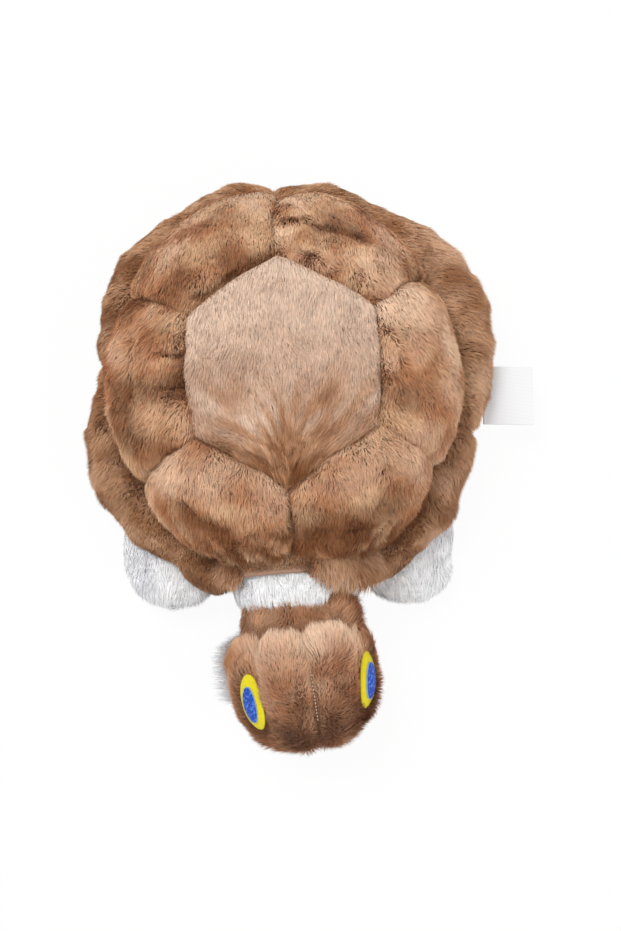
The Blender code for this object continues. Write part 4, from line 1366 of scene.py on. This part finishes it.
# %% Stitches: their tree and thread
stitch_tree, given, stitch_identifiers = new_tree("stitches", {
    "Pitch": "Float", "Stitch length": "Float", "Thread width": "Float", "Material": "Material"})
tree = stitch_tree
seam = add(tree, "GeometryNodeMeshToCurve", {"Mesh": given["Geometry"]})
seam = add(tree, "GeometryNodeResampleCurve", {"Curve": seam, "Length": given["Pitch"]}, mode="LENGTH")
stitch = add(tree, "GeometryNodeMeshUVSphere", {"Segments": 6, "Rings": 5, "Radius": 0.5}, "Mesh")
tangent = add(tree, "GeometryNodeInputTangent")
heading = add(tree, "FunctionNodeAlignRotationToVector", {"Vector": tangent}, axis="X")
width = given["Thread width"]
shape = add(tree, "ShaderNodeCombineXYZ", (given["Stitch length"], width, width))
row = add(tree, "GeometryNodeInstanceOnPoints",
          {"Points": seam, "Instance": stitch, "Rotation": heading, "Scale": shape})
end_tree(tree, given, row)

# Twisted polyester thread: pale, and a little smoother than the pile round it. Its twist is finer than a
# pixel of the render and doesn't show there.
twist_size = 0.4 * MM
thread = two_tone("pale sewing thread", NOISE, {"Scale": 1.0 / twist_size, "Detail": 2.0},
                  ("#E6D2BC", "#FFF1E0"), 0.6)


# %% Stitches: the two rows
crown_stitch_start, crown_stitch_share = 0.46, 0.24
plate_stitch_start, plate_stitch_share = 0.52, 0.18


def sew(name, path, body, pitch, length, width):
    """A row of stitches along a path; sizes are in mm."""
    mesh = bpy.data.meshes.new(name)
    mesh.from_pydata(path, [(k, k + 1) for k in range(len(path) - 1)], [])
    values = {"Pitch": pitch * MM, "Stitch length": length * MM, "Thread width": width * MM,
              "Material": thread}
    piece = grow(name, mesh, stitch_tree, stitch_identifiers, values)
    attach(piece, body)
    print(name, len(piece.data.polygons), "faces")


crown_line = head_point(seam_line(mouth_middle, back_spot(90.0), 0.0),
                        seam_line(mouth_middle, back_spot(58.0), 0.0), crown_hump)
crown_path = [crown_line(0.0, crown_stitch_start + crown_stitch_share * k / 20) for k in range(21)]
crown_path = [place + (place - head_middle).normalized() * 4.7 * MM for place in crown_path]
sew("crown_stitches", crown_path, "head", pitch=2.3, length=1.5, width=0.5)
seam_start, seam_end = seam_corner(2, plate_polar, True), seam_corner(3, plate_polar, True)
plate_path = [shell.point(*spot(seam_start.lerp(seam_end, plate_stitch_start + plate_stitch_share * k / 10)),
                          seam_depth - 1.2 * MM) for k in range(11)]
sew("plate_stitches", plate_path, "shell", pitch=3.1, length=2.2, width=0.6)

# %% [markdown]
# The eyes are ovals of short felt: a yellow one sewn to the head and a blue one on it. A domed disc,
# thick at its middle and rounded at its edge, is all the shape that they have.

# %% Felt
def felt(name, colour, mottling, edge=None, fleck=None):
    """Short wool felt: matt, with fine fibres; an edge colour marks the cut rim, and flecks may show."""
    material, tree = new_material(name)
    place = add(tree, "ShaderNodeTexCoord", output="Object")
    # Real felt's fibres are far finer. These are drawn coarse enough to show faintly.
    fibres = add(tree, NOISE, {"Vector": place, "Scale": 1.0 / (1.1 * MM), "Detail": 4.0})
    cloud = add(tree, NOISE, {"Vector": place, "Scale": 1.0 / (2.6 * MM), "Detail": 3.0})
    base = linear(colour)
    if fleck:
        specks = add(tree, NOISE, {"Vector": place, "Scale": 1.0 / (1.9 * MM), "Detail": 4.0,
                                   "Roughness": 0.7})
        specks = add(tree, RANGE, {"Value": specks, "From Min": 0.5, "From Max": 0.7})
        base = add(tree, MIX, {"Factor": specks, "A": base, "B": linear(fleck)}, "Result", data_type="RGBA")
    if edge:
        rim = add(tree, "ShaderNodeAttribute", output="Fac", attribute_name="rim")
        ring = add(tree, RANGE, {"Value": rim, "From Min": 0.94, "From Max": 0.98},
                   interpolation_type="SMOOTHSTEP")
        base = add(tree, MIX, {"Factor": ring, "A": base, "B": linear(edge)}, "Result", data_type="RGBA")
    value = add(tree, MATH, (cloud, mottling, 1.0 - 0.5 * mottling), operation="MULTIPLY_ADD")
    grain = add(tree, MATH, (fibres, 0.2, 0.92), operation="MULTIPLY_ADD")
    value = add(tree, MATH, (value, grain), operation="MULTIPLY")
    tone = add(tree, "ShaderNodeHueSaturation", {"Color": base, "Value": value})
    relief = add(tree, BUMP, {"Height": fibres, "Strength": 0.35, "Distance": 0.4 * MM})
    shader = add(tree, PRINCIPLED, {"Base Color": tone, "Roughness": 0.8, "Normal": relief,
                                    "Sheen Weight": 0.15, "Specular IOR Level": 0.25})
    add(tree, OUTPUT, {"Surface": shader})
    return material


yellow_felt = felt("yellow felt", "#E2D31E", 0.3)
blue_felt = felt("blue felt", "#1D46B0", 0.8, edge="#8FACD0", fleck="#6FA0E6")


# %% Felt eyes
def felt_disc(name, eye, size, low, high, forward_by, material):
    """A domed disc of felt from one height over the head to another."""
    disc = bmesh.new()
    rim = disc.verts.layers.float.new("rim")
    rings, count = 10, 48
    sides = []
    for top in (True, False):
        loops = []
        for ring in range(rings + 1):
            share = math.sin(0.5 * math.pi * ring / rings)
            dome = 0.45 + 0.55 * math.sqrt(max(1 - share ** 2, 0))
            lift = low + (high - low) * dome if top else low
            loop = []
            for k in range(count):
                vert = disc.verts.new(eye.place(share, math.tau * k / count, size, lift, forward_by))
                vert[rim] = share
                loop.append(vert)
            loops.append(loop)
        sides.append(loops)
    bands = [pair for loops in sides for pair in zip(loops, loops[1:])] + [(sides[0][-1], sides[1][-1])]
    for inside, outside in bands:
        for k in range(count):
            after = (k + 1) % count
            disc.faces.new((inside[k], inside[after], outside[after], outside[k]))
    bmesh.ops.remove_doubles(disc, verts=disc.verts, dist=1e-7)
    bmesh.ops.recalc_face_normals(disc, faces=disc.faces)
    return link(name, as_mesh(disc, name, material))


for name, eye in eyes.items():
    iris = felt_disc(name + "_iris_felt", eye, eye_size, 4.6 * MM, 6.8 * MM, 0.0, yellow_felt)
    pupil = felt_disc(name + "_pupil_felt", eye, pupil_size, 6.5 * MM, 8.1 * MM, pupil_forward, blue_felt)
    for piece, slot, node in ((iris, "yellow_felt", "_iris"), (pupil, "blue_felt", "_pupil")):
        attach(piece, "head")
        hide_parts(name + node)
        print(piece.name, len(piece.data.polygons), "faces")

# %% [markdown]
# Behind the cloth lies loose polyester filling. It is hardly seen, only between panels when a limb
# moves, so it is a soft lumpy body a few millimetres inside the cloth.

# %% Filling
# Carded polyester fibre: matt off-white, with painted shade in the hollows between its soft lumps.
lump_size = 8.0 * MM
fibre_filling = two_tone("polyester fibre filling", NOISE, {"Scale": 1.0 / lump_size, "Detail": 5.0},
                         ("#B9B4AC", "#E4E1DA"), 0.95, (0.6, 1.0))
neck_ball = Lobe((31.0 * MM, 31.0 * MM), 31.0 * MM, 31.0 * MM, (1.0, 1.0))
shell_filling_sink, head_filling_sink, leg_filling_sink = 6.0 * MM, 3.0 * MM, 7.5 * MM
filling_grid = 44, 28


def stuff(name, point, middle, body, node):
    """A lumpy body of wadding; its two angles go from pole to pole and round."""
    filling = weave(lambda u, v: point(math.pi * v, math.tau * u), *filling_grid,
                    lambda u, v, place: 0.0, middle)
    crumple(filling, ((16.0, 1.2),), seed=150.0)
    bmesh.ops.recalc_face_normals(filling, faces=filling.faces)
    finish_soft(link(name, as_mesh(filling, name, fibre_filling)), body, node)


def shell_filling_point(polar, around):
    """The shell's filling, pushed back behind the neck's ball."""
    place = shell.point(polar, around, -shell_filling_sink)
    inside = neck_ball_radius + 1.0 * MM - from_neck(place)
    if inside > 0:
        place += Vector((0, 1, 0)) * inside * neck_spread
    return place


stuff("shell_filling", shell_filling_point, shell_middle, "shell", "shell_stuffing")
stuff("head_filling", lambda polar, around: head_frame @ head.point(polar, around, -head_filling_sink),
      head_middle, "head", "head_stuffing")
stuff("neck_filling", lambda polar, around: neck_frame @ neck_ball.point(polar, around), neck_pivot,
      "neck", "neck_stuffing")
for name, (x, y, turn, length) in leg_sizes.items():
    lobe, place_leg = leg_lobe(length, leg_filling_sink), leg_frames[name]
    stuff(name + "_filling", lambda polar, around: place_leg @ lobe.point(polar, around),
          place_leg @ leg_inside, name, name + "_stuffing")

# %% [markdown]
# A blank white label is folded double and sewn in under the right edge of the rim.

# %% Label
# Woven satin tape: crosswise threads, slightly glossy. They are drawn coarser than real ones and show
# faintly: each light or dark band is about thread_pitch wide, so the bands repeat every millimetre.
thread_pitch = 0.5 * MM
threads = {"Scale": 1.0 / thread_pitch / math.tau, "Distortion": 0.4}
satin_tape = two_tone("white satin tape", "ShaderNodeTexWave", threads, ("#E6E7EA", "#F2F3F4"), 0.45,
                      (0.2, 0.1), wave_type="BANDS", bands_direction="Y")
label_low, label_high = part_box("side_label")
print("label box:", [round(v, 4) for v in label_low], [round(v, 4) for v in label_high])
label_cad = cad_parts["side_label"]
label_cad.data.materials.clear()
label_cad.data.materials.append(satin_tape)

# %% Finish
low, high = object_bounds()
past_box = [(high[k] - low[k] - cad_box[1][k] + cad_box[0][k]) / MM for k in range(3)]
print("size over the CAD box, mm:", [round(value, 1) for value in past_box])
